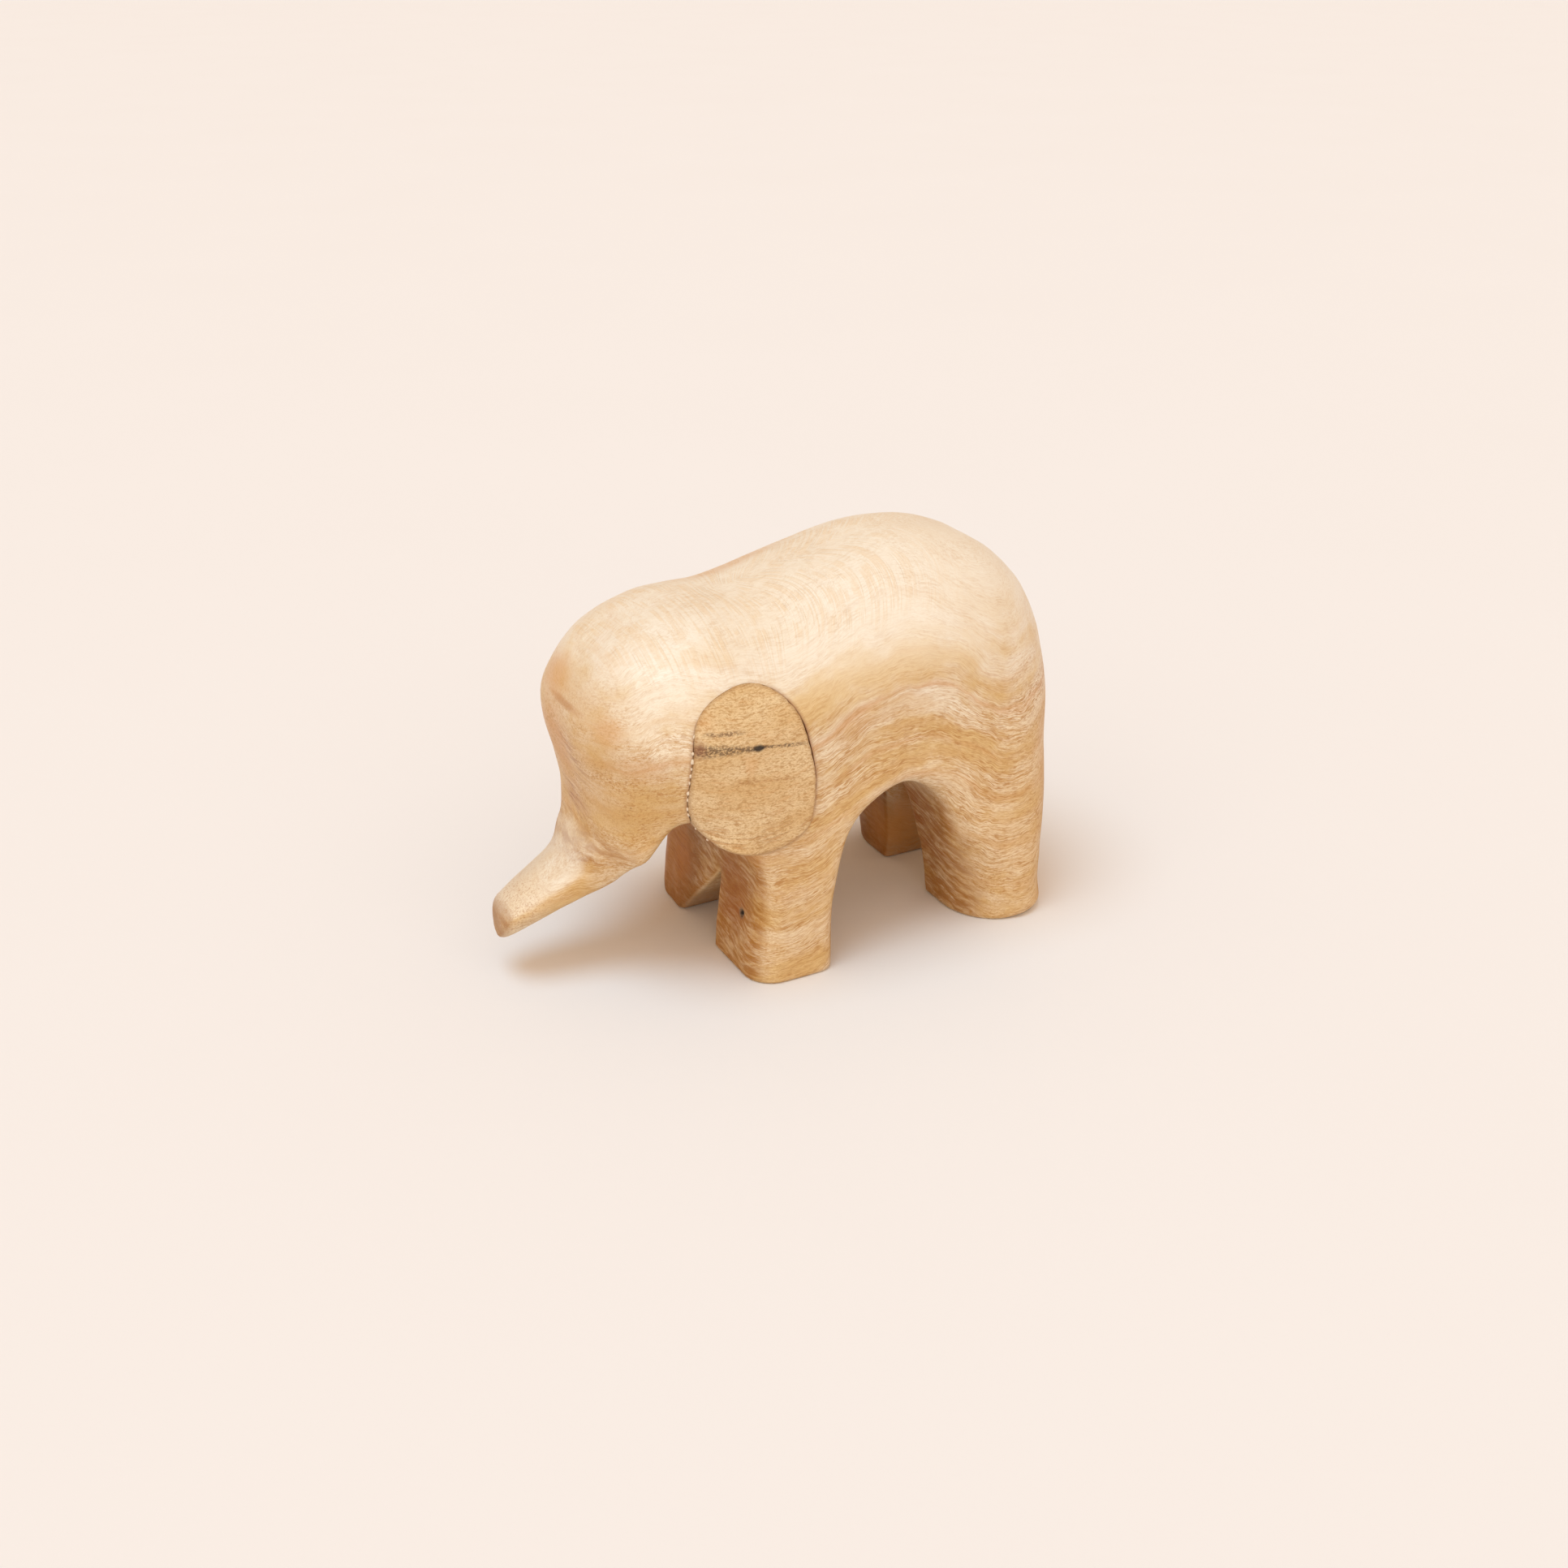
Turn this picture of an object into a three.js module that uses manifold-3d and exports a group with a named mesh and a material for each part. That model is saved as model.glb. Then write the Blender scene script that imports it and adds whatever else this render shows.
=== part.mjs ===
// Carved wooden elephant: one carved block with two inlaid ears on glue films.
// Millimetres, +Z up, the trunk points towards -Y, the animal's left side is +X.
import * as THREE from 'three';
import { mergeVertices } from 'three/addons/utils/BufferGeometryUtils.js';
import Module from 'manifold-3d';

const wasm = await Module();
wasm.setup();

// ---- driving dimensions -------------------------------------------------------------
// y is measured back from the front of the front feet, z up from the soles.
const HALF_WIDTH = 18.3;
const BACK_HEIGHT = 53;
const FRONT_LEG_DEPTH = 11.4;
const HIND_LEG_FRONT = 33.2;
const BELLY_HEIGHT = 24;
const PASSAGE_HALF_WIDTH = 5.3;
const PASSAGE_HEIGHT = 19;
const SOLE_STOCK = 2;

// Side view of the sawn block, head and back, before the throat and arch come out.
const BLOCK_OUTLINE = [
  [44.2, -6], [45, 9], [46.8, 22], [48, 35.5], [45, 45], [38.3, 50.8],
  [28, BACK_HEIGHT], [14.2, 50.4], [4.5, 48.1], [-4.7, 47.4], [-13.3, 43.4],
  [-18.1, 36], [-17.2, 28], [-14.4, 22], [-11, 17], [-8, 7], [-6, -6],
];
// Edge of the wood at the throat: up the front legs, then down along the jaw.
const THROAT_LINE = [
  [-0.3, -8], [0, 3.5], [0.9, 11], [0.7, 16.5], [-0.8, 20.8], [-4, 23.4], [-8, 23.4],
  [-10.4, 19.9], [-12.7, 15.3], [-15.6, 9.8], [-21, 6], [-27, 2.5], [-34, 0], [-34, -8],
];
// Edge of the wood round the belly arch, from the front legs to the hind legs.
const ARCH_LINE = [
  [FRONT_LEG_DEPTH, -6], [11.5, 4], [11.9, 11.5], [14.7, 20.2], [20.9, BELLY_HEIGHT],
  [25.9, 22], [28.8, 17], [30.7, 10.8], [32.2, 4.5], [HIND_LEG_FRONT, -6],
];
const LINE_STEPS = 8;

// Rounding of the long edges by height: tight at the feet, full over the back.
const EDGE_RADIUS_BY_HEIGHT = [[-5, 3.2], [4, 3.8], [15, 6], [30, 12], [42, 15.5], [55, 17]];
const HEAD_EDGE_RADIUS = 15.5;
const FAR_FRONT_LEG_EXTRA_RADIUS = 3.5;
const HEEL_EXTRA_RADIUS = 1.6;
const THROAT_EDGE_RADIUS = 2;
const THROAT_LEG_EXTRA_RADIUS = 2;
const FAR_SHIN_EXTRA_RADIUS = 6;
const ARCH_FRONT_RADIUS = 2.2;
const ARCH_HIND_RADIUS = 4.2;
const HIND_FOOT_EXTRA_RADIUS = 4;
const PASSAGE_EDGE_RADIUS = 0.9;
// The far wall of the passage leans over, more between the front legs than behind.
const PASSAGE_LEAN_FRONT = 1;
const PASSAGE_LEAN_HIND = 0.27;

// Trunk: a tapering rounded bar along a sloping axis; each table runs up from the tip.
const TRUNK_TIP = [-27.8, 7.5];
const TRUNK_SLOPE = THREE.MathUtils.degToRad(42.5);
const TRUNK_LENGTH = 34;
const TRUNK_HALF_WIDTHS = [[-6, 2.8], [0, 3.5], [6, 4.35], [12, 5.8], [15, 7.8], [18, 9.6], [25, 13.2],
  [33, 15]];
const TRUNK_SHIFT_X = [[-6, 0], [0, 0], [6, 0.15], [12, 0.4], [18, 0.25], [25, 0], [33, 0]];
const TRUNK_HALF_DEPTHS = [[-6, 2.1], [0, 2.3], [6, 2.4], [12, 2.9], [15, 4.1], [18, 5.1], [25, 7.7], [33, 10.5]];
const TRUNK_SAG = [[-6, 0.6], [0, 0.1], [6, -0.9], [12, -2.3], [15, -2.8], [18, -2.8], [25, 0], [33, 0.5]];
const TRUNK_END_Y = -27.9;
const TRUNK_SQUARENESS = 2.7;
const TRUNK_END_RADIUS = 1.3;
const TRUNK_BLEND = 4;
const ROOT_BLEND = 0.4;
const ROOT_DEPTH_IN_HEAD = 4;

// Ears: flat-backed inlays in flat-bottomed pockets, stuck down with a thin glue film.
const EAR_OUTLINE = [
  [-2, 41.1], [2.2, 40.8], [5.5, 37.8], [7.4, 32.5], [8.1, 27], [6.8, 21.7],
  [1.5, 19.6], [-4.5, 21.1], [-7.9, 25.5], [-8.1, 32], [-6.6, 38.4],
];
const EAR_STEPS = 4;
const EAR_RINGS = [0.94, 0.75, 0.5, 0.25];
const EAR_PROUD_TOP = 0.3;
const EAR_PROUD_BOTTOM = 0.8;
const EAR_RIM_DROP = 0.6;
const EAR_BACK = 14;
const GLUE_THICKNESS = 0.2;
const POCKET_SIDE_GAP = 0.3;
const POCKET_REACH = 12;
const EAR_SEARCH_MARGIN = 2;
const EAR_SEARCH_ROUNDS = 30;

// Where one form hands over to the next, as [start, end] along y, z, x or the trunk.
const HEAD_STARTS_Y = [6, -6];
const HEAD_STARTS_Z = [16, 24];
const FAR_SIDE_X = [0, -8];
const FAR_LEG_Y = [16, 4];
const FAR_LEG_Z = [26, 18];
const FAR_SHIN_X = [-2, -9];
const HEEL_Y = [32, 42];
const HEEL_Z = [9, 3];
const THROAT_LEG_Z = [18, 6];
const THROAT_LEG_Y = [-8, -3];
const ARCH_REAR_Y = [24, 31];
const HIND_FOOT_Y = [28, 32];
const HIND_FOOT_Z = [18, 6];

// Grid the surface is sampled on: [from, spacing] spans, then the end, finer at the trunk.
const GRID_X = [[-21, 2.1], [21]];
const GRID_Y = [[-31, 1.6], [-16.6, 2.1], [12.8, 2], [36.8, 2.4], [51.2]];
const GRID_Z = [[-3.6, 1.8], [14.4, 2.1], [27, 2.4], [55.8]];
const SLOPE_REACH = 0.02;
const SETTLE_ROUNDS = 4;
const SETTLE_LIMIT = 0.4;
const FLATTEST_SLOPE = 0.2;
const WELD_DISTANCE = 1e-4;
const GROUND = new THREE.Vector3(60, 120, 10);

// ---- curves -------------------------------------------------------------------------
const toVector2 = ([a, b]) => new THREE.Vector2(a, b);
const toVector3 = ([a, b]) => new THREE.Vector3(a, b, 0);

function closedCurve(points, steps) {
  const curve = new THREE.CatmullRomCurve3(points.map(toVector3), true, 'centripetal');
  return curve.getPoints(points.length * steps).slice(0, -1);
}

function openCurve(points) {
  const curve = new THREE.SplineCurve(points.map(toVector2));
  return curve.getPoints((points.length - 1) * LINE_STEPS);
}

function tableFunction(points) {
  const samples = openCurve(points);
  return (t) => {
    if (t <= samples[0].x) return samples[0].y;
    for (let i = 1; i < samples.length; i += 1) {
      if (t <= samples[i].x) {
        return THREE.MathUtils.mapLinear(t, samples[i - 1].x, samples[i].x, samples[i - 1].y, samples[i].y);
      }
    }
    return samples[samples.length - 1].y;
  };
}

// Signed distance in the side view, negative inside the closed polygon.
function polygonDistance(polygon, y, z) {
  let nearest = Infinity;
  let inside = false;
  for (let i = 0; i < polygon.length; i += 1) {
    const a = polygon[i];
    const b = polygon[(i + 1) % polygon.length];
    const ey = b.x - a.x;
    const ez = b.y - a.y;
    const wy = y - a.x;
    const wz = z - a.y;
    const t = THREE.MathUtils.clamp((wy * ey + wz * ez) / (ey * ey + ez * ez || 1), 0, 1);
    nearest = Math.min(nearest, Math.hypot(wy - t * ey, wz - t * ez));
    if ((a.y > z) !== (b.y > z) && wy < (ey * wz) / ez) inside = !inside;
  }
  return inside ? -nearest : nearest;
}

const step = ([from, to], value) => {
  const t = THREE.MathUtils.clamp((value - from) / (to - from), 0, 1);
  return t * t * (3 - 2 * t);
};

// ---- the carved shape as a distance-like field, negative inside the wood ------------
const blockLine = closedCurve(BLOCK_OUTLINE, LINE_STEPS);
const throatLine = openCurve(THROAT_LINE);
const archLine = openCurve(ARCH_LINE);
const edgeRadius = tableFunction(EDGE_RADIUS_BY_HEIGHT);
const trunkHalfWidth = tableFunction(TRUNK_HALF_WIDTHS);
const trunkHalfDepth = tableFunction(TRUNK_HALF_DEPTHS);
const trunkSag = tableFunction(TRUNK_SAG);
const trunkShift = tableFunction(TRUNK_SHIFT_X);

// The common part of two solids, with the edge where they meet rounded to a radius.
function roundedCommon(a, b, radius) {
  if (a + radius > 0 && b + radius > 0) return Math.hypot(a + radius, b + radius) - radius;
  return Math.max(a, b);
}

// Two solids joined, with the valley between them filled over a blend width.
function blendedJoin(a, b, width) {
  const h = THREE.MathUtils.clamp(0.5 + (0.5 * (b - a)) / width, 0, 1);
  return b + (a - b) * h - width * h * (1 - h);
}

function blockField(x, y, z) {
  const inHead = step(HEAD_STARTS_Y, y) * step(HEAD_STARTS_Z, z);
  const farFrontLeg = step(FAR_SIDE_X, x) * step(FAR_LEG_Y, y) * step(FAR_LEG_Z, z);
  const heel = step(HEEL_Y, y) * step(HEEL_Z, z);
  const radius = THREE.MathUtils.lerp(edgeRadius(z), HEAD_EDGE_RADIUS, inHead)
    + FAR_FRONT_LEG_EXTRA_RADIUS * farFrontLeg + HEEL_EXTRA_RADIUS * heel;
  return roundedCommon(polygonDistance(blockLine, y, z), Math.abs(x) - HALF_WIDTH, radius);
}

function alongTrunk(y, z) {
  const dy = y - TRUNK_TIP[0];
  const dz = z - TRUNK_TIP[1];
  const along = dy * Math.cos(TRUNK_SLOPE) + dz * Math.sin(TRUNK_SLOPE);
  const above = dz * Math.cos(TRUNK_SLOPE) - dy * Math.sin(TRUNK_SLOPE);
  return [along, above];
}

function trunkField(x, y, z) {
  const [along, above] = alongTrunk(y, z);
  const halfWidth = trunkHalfWidth(along);
  const halfDepth = trunkHalfDepth(along);
  const across = Math.abs(x - trunkShift(along)) / halfWidth;
  const up = Math.abs(above - trunkSag(along)) / halfDepth;
  const ratio = (across ** TRUNK_SQUARENESS + up ** TRUNK_SQUARENESS) ** (1 / TRUNK_SQUARENESS);
  const bar = (ratio - 1) * Math.min(halfWidth, halfDepth);
  return Math.max(roundedCommon(bar, TRUNK_END_Y - y, TRUNK_END_RADIUS), along - TRUNK_LENGTH);
}

function passageField(x, y, z) {
  const lean = THREE.MathUtils.lerp(
    PASSAGE_LEAN_FRONT, PASSAGE_LEAN_HIND, THREE.MathUtils.clamp(y / HIND_LEG_FRONT, 0, 1));
  const leaningWall = (lean * z - PASSAGE_HALF_WIDTH - x) / Math.hypot(1, lean);
  return Math.max(leaningWall, x - PASSAGE_HALF_WIDTH, z - PASSAGE_HEIGHT);
}

function carvedField(x, y, z) {
  const [along] = alongTrunk(y, z);
  const atRoot = step([TRUNK_LENGTH / 2, TRUNK_LENGTH - ROOT_DEPTH_IN_HEAD], along);
  const blend = TRUNK_BLEND * (1 - atRoot) + ROOT_BLEND;
  const onLeg = step(THROAT_LEG_Z, z) * step(THROAT_LEG_Y, y);
  const onFarLeg = step(FAR_SHIN_X, x) * step(FAR_LEG_Z, z);
  const throatRadius = THROAT_EDGE_RADIUS + THROAT_LEG_EXTRA_RADIUS * onLeg
    + FAR_SHIN_EXTRA_RADIUS * onFarLeg;
  const onHindFoot = step(HIND_FOOT_Y, y) * step(HIND_FOOT_Z, z);
  const archRadius = THREE.MathUtils.lerp(ARCH_FRONT_RADIUS, ARCH_HIND_RADIUS, step(ARCH_REAR_Y, y))
    + HIND_FOOT_EXTRA_RADIUS * onHindFoot;
  let wood = blendedJoin(blockField(x, y, z), trunkField(x, y, z), blend);
  wood = roundedCommon(wood, -polygonDistance(throatLine, y, z), throatRadius);
  wood = roundedCommon(wood, -polygonDistance(archLine, y, z), archRadius);
  wood = roundedCommon(wood, -passageField(x, y, z), PASSAGE_EDGE_RADIUS);
  return Math.max(wood, -z - SOLE_STOCK);
}

// ---- turning a field into a closed triangle mesh ------------------------------------
// Grid lines across one axis: [[from, spacing], ..., [end]].
function gridLines(spans) {
  const lines = [];
  for (let i = 0; i + 1 < spans.length; i += 1) {
    const [from, spacing] = spans[i];
    const to = spans[i + 1][0];
    const count = Math.round((to - from) / spacing);
    for (let k = 0; k < count; k += 1) lines.push(from + ((to - from) * k) / count);
  }
  lines.push(spans[spans.length - 1][0]);
  return lines;
}

// Moves a point along the field's slope until it lies on the surface.
function settleOnSurface(field, point) {
  const reach = SLOPE_REACH;
  for (let round = 0; round < SETTLE_ROUNDS; round += 1) {
    const { x, y, z } = point;
    const value = field(x, y, z);
    const slope = new THREE.Vector3(
      field(x + reach, y, z) - field(x - reach, y, z),
      field(x, y + reach, z) - field(x, y - reach, z),
      field(x, y, z + reach) - field(x, y, z - reach),
    ).divideScalar(2 * reach);
    const pull = value / Math.max(slope.lengthSq(), FLATTEST_SLOPE);
    point.addScaledVector(slope, -THREE.MathUtils.clamp(pull, -SETTLE_LIMIT, SETTLE_LIMIT));
  }
}

// Surface nets: one vertex in each cell that the surface crosses, one quad per crossed edge.
function surfaceNet(field, xs, ys, zs) {
  const size = [xs.length, ys.length, zs.length];
  const at = (i, j, k) => (i * size[1] + j) * size[2] + k;
  const values = new Float64Array(size[0] * size[1] * size[2]);
  xs.forEach((x, i) => ys.forEach((y, j) => zs.forEach((z, k) => {
    values[at(i, j, k)] = field(x, y, z);
  })));
  const lines = [xs, ys, zs];
  const cellVertex = new Map();
  const positions = [];
  const vertexOf = (i, j, k) => {
    const key = at(i, j, k);
    if (!cellVertex.has(key)) {
      const point = crossingCentre(values, at, lines, [i, j, k]);
      settleOnSurface(field, point);
      cellVertex.set(key, positions.length / 3);
      positions.push(point.x, point.y, point.z);
    }
    return cellVertex.get(key);
  };
  const indices = [];
  const pushQuad = (a, b, c, d) => indices.push(a, b, c, a, c, d);
  for (let axis = 0; axis < 3; axis += 1) {
    const u = (axis + 1) % 3;
    const v = (axis + 2) % 3;
    for (let i = 1; i < size[axis]; i += 1) {
      for (let j = 1; j < size[u] - 1; j += 1) {
        for (let k = 1; k < size[v] - 1; k += 1) {
          const end = [0, 0, 0];
          end[axis] = i;
          end[u] = j;
          end[v] = k;
          const start = [...end];
          start[axis] -= 1;
          const startInside = values[at(...start)] < 0;
          const endInside = values[at(...end)] < 0;
          if (startInside === endInside) continue;
          const cell = (du, dv) => {
            const corner = [...start];
            corner[u] -= du;
            corner[v] -= dv;
            return vertexOf(...corner);
          };
          if (startInside) pushQuad(cell(1, 1), cell(0, 1), cell(0, 0), cell(1, 0));
          else pushQuad(cell(1, 1), cell(1, 0), cell(0, 0), cell(0, 1));
        }
      }
    }
  }
  const geometry = new THREE.BufferGeometry();
  geometry.setAttribute('position', new THREE.Float32BufferAttribute(positions, 3));
  geometry.setIndex(indices);
  return geometry;
}

// Mean of the places where the surface crosses a cell's twelve edges.
function crossingCentre(values, at, lines, cell) {
  const centre = new THREE.Vector3();
  let crossings = 0;
  for (let axis = 0; axis < 3; axis += 1) {
    for (let side = 0; side < 4; side += 1) {
      const a = [...cell];
      a[(axis + 1) % 3] += side & 1;
      a[(axis + 2) % 3] += side >> 1;
      const b = [...a];
      b[axis] += 1;
      const va = values[at(...a)];
      const vb = values[at(...b)];
      if ((va < 0) === (vb < 0)) continue;
      const from = new THREE.Vector3(...a.map((n, d) => lines[d][n]));
      const to = new THREE.Vector3(...b.map((n, d) => lines[d][n]));
      centre.add(from.lerp(to, va / (va - vb)));
      crossings += 1;
    }
  }
  return centre.divideScalar(crossings);
}

// ---- solids and geometry, back and forth --------------------------------------------
function toSolid(geometry) {
  const bare = geometry.clone();
  bare.deleteAttribute('normal');
  bare.deleteAttribute('uv');
  const merged = mergeVertices(bare, WELD_DISTANCE);
  return new wasm.Manifold(new wasm.Mesh({
    numProp: 3,
    vertProperties: new Float32Array(merged.attributes.position.array),
    triVerts: new Uint32Array(merged.index.array),
  }));
}

function toGeometry(solid) {
  const mesh = solid.getMesh();
  const geometry = new THREE.BufferGeometry();
  geometry.setAttribute('position', new THREE.Float32BufferAttribute(mesh.vertProperties, 3));
  geometry.setIndex(Array.from(mesh.triVerts));
  return geometry;
}

// A side-view outline made into a plate between two x planes; side is 1 (left) or -1.
function sidePlate(outline, fromX, toX, side) {
  const shape = new THREE.Shape(outline.map((p) => new THREE.Vector2(p.x, p.y)));
  const geometry = new THREE.ExtrudeGeometry(shape, { depth: toX - fromX, bevelEnabled: false });
  const upright = new THREE.Matrix4().makeBasis(
    new THREE.Vector3(0, 1, 0), new THREE.Vector3(0, 0, 1), new THREE.Vector3(1, 0, 0));
  geometry.applyMatrix4(upright);
  geometry.translate(fromX, 0, 0);
  return side > 0 ? geometry : mirrored(geometry);
}

function mirrored(geometry) {
  const flipped = geometry.index ? geometry.clone() : mergeVertices(geometry.clone());
  flipped.scale(-1, 1, 1);
  const index = flipped.index.array;
  for (let i = 0; i < index.length; i += 3) {
    const first = index[i];
    index[i] = index[i + 1];
    index[i + 1] = first;
  }
  return flipped;
}

// ---- ears ---------------------------------------------------------------------------
const earLine = closedCurve(EAR_OUTLINE, EAR_STEPS);
const earCentre = earLine.reduce((sum, p) => sum.add(p), new THREE.Vector3()).divideScalar(earLine.length);
const earBox = new THREE.Box3().setFromPoints(earLine);

function grownEarLine(gap) {
  return earLine.map((p, i) => {
    const before = earLine.at(i - 1);
    const after = earLine[(i + 1) % earLine.length];
    const along = after.clone().sub(before).normalize();
    return new THREE.Vector3(p.x - along.y * gap, p.y + along.x * gap, 0);
  });
}

// Half-width at which the ear's outer face lies, found on the uncut block's side.
function earFaceX(y, z) {
  const low = step([earBox.max.y, earBox.min.y], z);
  const proud = THREE.MathUtils.lerp(EAR_PROUD_TOP, EAR_PROUD_BOTTOM, low);
  let inner = EAR_BACK;
  let outer = HALF_WIDTH + EAR_SEARCH_MARGIN;
  for (let round = 0; round < EAR_SEARCH_ROUNDS; round += 1) {
    const middle = (inner + outer) / 2;
    if (blockField(middle, y, z) < proud) inner = middle;
    else outer = middle;
  }
  return inner;
}

// A closed shell of rings: flat back, upright wall, lowered rim and domed outer face.
function earGeometry() {
  const count = earLine.length;
  const positions = [];
  const addRing = (scale, xOf) => earLine.forEach((p) => {
    const y = THREE.MathUtils.lerp(earCentre.x, p.x, scale);
    const z = THREE.MathUtils.lerp(earCentre.y, p.y, scale);
    positions.push(xOf(y, z), y, z);
  });
  addRing(1, () => EAR_BACK);
  addRing(1, (y, z) => earFaceX(y, z) - EAR_RIM_DROP);
  EAR_RINGS.forEach((scale) => addRing(scale, earFaceX));
  const ringCount = EAR_RINGS.length + 2;
  const backCentre = positions.length / 3;
  positions.push(EAR_BACK, earCentre.x, earCentre.y);
  const faceCentre = backCentre + 1;
  positions.push(earFaceX(earCentre.x, earCentre.y), earCentre.x, earCentre.y);
  const indices = [];
  for (let i = 0; i < count; i += 1) {
    const next = (i + 1) % count;
    indices.push(backCentre, i, next);
    for (let ring = 0; ring + 1 < ringCount; ring += 1) {
      const a = ring * count + i;
      const b = ring * count + next;
      indices.push(a, a + count, b, b, a + count, b + count);
    }
    const last = (ringCount - 1) * count;
    indices.push(last + i, faceCentre, last + next);
  }
  const geometry = new THREE.BufferGeometry();
  geometry.setAttribute('position', new THREE.Float32BufferAttribute(positions, 3));
  geometry.setIndex(indices);
  return geometry;
}

// ---- the five pieces ----------------------------------------------------------------
function rawBlockSolid() {
  const net = toSolid(surfaceNet(carvedField, gridLines(GRID_X), gridLines(GRID_Y), gridLines(GRID_Z)));
  const floor = new THREE.BoxGeometry(GROUND.x, GROUND.y, GROUND.z);
  floor.translate(0, 0, -GROUND.z / 2);
  return net.subtract(toSolid(floor));
}

function carvedBodyGeometry(rawBlock) {
  let body = rawBlock;
  for (const side of [1, -1]) {
    const pocketFloor = EAR_BACK - GLUE_THICKNESS;
    const pocket = sidePlate(grownEarLine(POCKET_SIDE_GAP), pocketFloor, pocketFloor + POCKET_REACH, side);
    body = body.subtract(toSolid(pocket));
  }
  return toGeometry(body);
}

function glueGeometry(rawBlock, side) {
  const film = sidePlate(earLine, EAR_BACK - GLUE_THICKNESS, EAR_BACK, side);
  return toGeometry(rawBlock.intersect(toSolid(film)));
}

function piece(name, geometry, material) {
  const mesh = new THREE.Mesh(geometry, material);
  mesh.name = name;
  return mesh;
}

const bodyWood = new THREE.MeshStandardMaterial({ color: 0xddbb91, roughness: 0.42, metalness: 0 });
const earWood = new THREE.MeshStandardMaterial({ color: 0xd4a873, roughness: 0.55, metalness: 0 });
const driedGlue = new THREE.MeshStandardMaterial({ color: 0xe8dcc4, roughness: 0.4, metalness: 0 });

const rawBlock = rawBlockSolid();
const elephant = new THREE.Group();
elephant.name = 'carved_wooden_elephant';
elephant.add(piece('carved_body', carvedBodyGeometry(rawBlock), bodyWood));
for (const [name, side] of [['left', 1], ['right', -1]]) {
  const ear = side > 0 ? earGeometry() : mirrored(earGeometry());
  elephant.add(piece(`${name}_ear`, ear, earWood));
  elephant.add(piece(`${name}_ear_glue_film`, glueGeometry(rawBlock, side), driedGlue));
}

// Stand the model with the middle of its bounding box over the origin.
const extent = new THREE.Box3().setFromObject(elephant);
elephant.position.y = -(extent.min.y + extent.max.y) / 2;
elephant.updateMatrixWorld(true);

export default elephant;
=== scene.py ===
"""Carved wooden elephant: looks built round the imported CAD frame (Blender 4.5, metres)."""
import math
from types import SimpleNamespace

import bmesh
import bpy
import numpy as np
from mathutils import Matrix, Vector


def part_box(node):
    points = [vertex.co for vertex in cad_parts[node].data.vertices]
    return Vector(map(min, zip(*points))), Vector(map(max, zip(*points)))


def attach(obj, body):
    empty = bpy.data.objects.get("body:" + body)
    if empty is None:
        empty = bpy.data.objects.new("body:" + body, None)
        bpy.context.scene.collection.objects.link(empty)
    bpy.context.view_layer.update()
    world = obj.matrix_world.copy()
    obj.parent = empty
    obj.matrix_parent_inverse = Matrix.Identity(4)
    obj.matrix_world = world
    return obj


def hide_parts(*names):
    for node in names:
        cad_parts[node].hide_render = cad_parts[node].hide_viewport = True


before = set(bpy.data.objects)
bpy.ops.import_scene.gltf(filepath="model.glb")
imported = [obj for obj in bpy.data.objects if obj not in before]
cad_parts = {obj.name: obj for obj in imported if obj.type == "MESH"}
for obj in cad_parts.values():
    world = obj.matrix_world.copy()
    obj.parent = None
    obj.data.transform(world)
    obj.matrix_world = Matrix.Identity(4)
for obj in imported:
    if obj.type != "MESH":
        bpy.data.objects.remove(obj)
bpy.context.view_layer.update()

MM = 0.001

# ---- the carved shape, in millimetres, y measured back from the front feet ------------
HALF_WIDTH = 18.3
HIND_LEG_FRONT = 33.2
PASSAGE_HALF_WIDTH = 5.3
PASSAGE_HEIGHT = 19.0
BLOCK_OUTLINE = [
    (44.2, -6), (45, 9), (46.8, 22), (48, 35.5), (45, 45), (38.3, 50.8), (28, 53), (14.2, 50.4),
    (4.5, 48.1), (-4.7, 47.4), (-13.3, 43.4), (-18.1, 36), (-17.2, 28), (-14.4, 22), (-11, 17),
    (-8, 7), (-6, -6)]
THROAT_LINE = [
    (-0.3, -8), (0, 3.5), (0.9, 11), (0.7, 16.5), (-0.8, 20.8), (-4, 23.4), (-8, 23.4), (-10.4, 19.9),
    (-12.7, 15.3), (-15.6, 9.8), (-21, 6), (-27, 2.5), (-34, 0), (-34, -8)]
ARCH_LINE = [
    (11.4, -6), (11.5, 4), (11.9, 11.5), (14.7, 20.2), (20.9, 24), (25.9, 22), (28.8, 17),
    (30.7, 10.8), (32.2, 4.5), (HIND_LEG_FRONT, -6)]
EDGE_RADIUS_BY_HEIGHT = [(-5, 3.2), (4, 3.8), (15, 6), (30, 12), (42, 15.5), (55, 17)]
HEAD_EDGE_RADIUS = 15.5
FAR_FRONT_LEG_EXTRA_RADIUS = 3.5
HEEL_EXTRA_RADIUS = 1.6
THROAT_EDGE_RADIUS = 2.0
THROAT_LEG_EXTRA_RADIUS = 2.0
FAR_SHIN_EXTRA_RADIUS = 6.0
ARCH_FRONT_RADIUS = 2.2
ARCH_HIND_EXTRA_RADIUS = 2.0
HIND_FOOT_EXTRA_RADIUS = 4.0
PASSAGE_EDGE_RADIUS = 0.9
PASSAGE_LEAN_HIND = 0.27
SOLE_EDGE_RADIUS = 0.5
HEEL_SOLE_EXTRA_RADIUS = 1.3
TRUNK_TIP = (-27.8, 7.5)
TRUNK_SLOPE = math.radians(42.5)
TRUNK_LENGTH = 34
TRUNK_HALF_WIDTHS = [(-6, 2.8), (0, 3.5), (6, 4.35), (12, 5.8), (15, 7.8), (18, 9.6), (25, 13.2),
                     (33, 15)]
TRUNK_SHIFT_X = [(-6, 0), (0, 0), (6, 0.15), (12, 0.4), (18, 0.25), (25, 0), (33, 0)]
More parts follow.
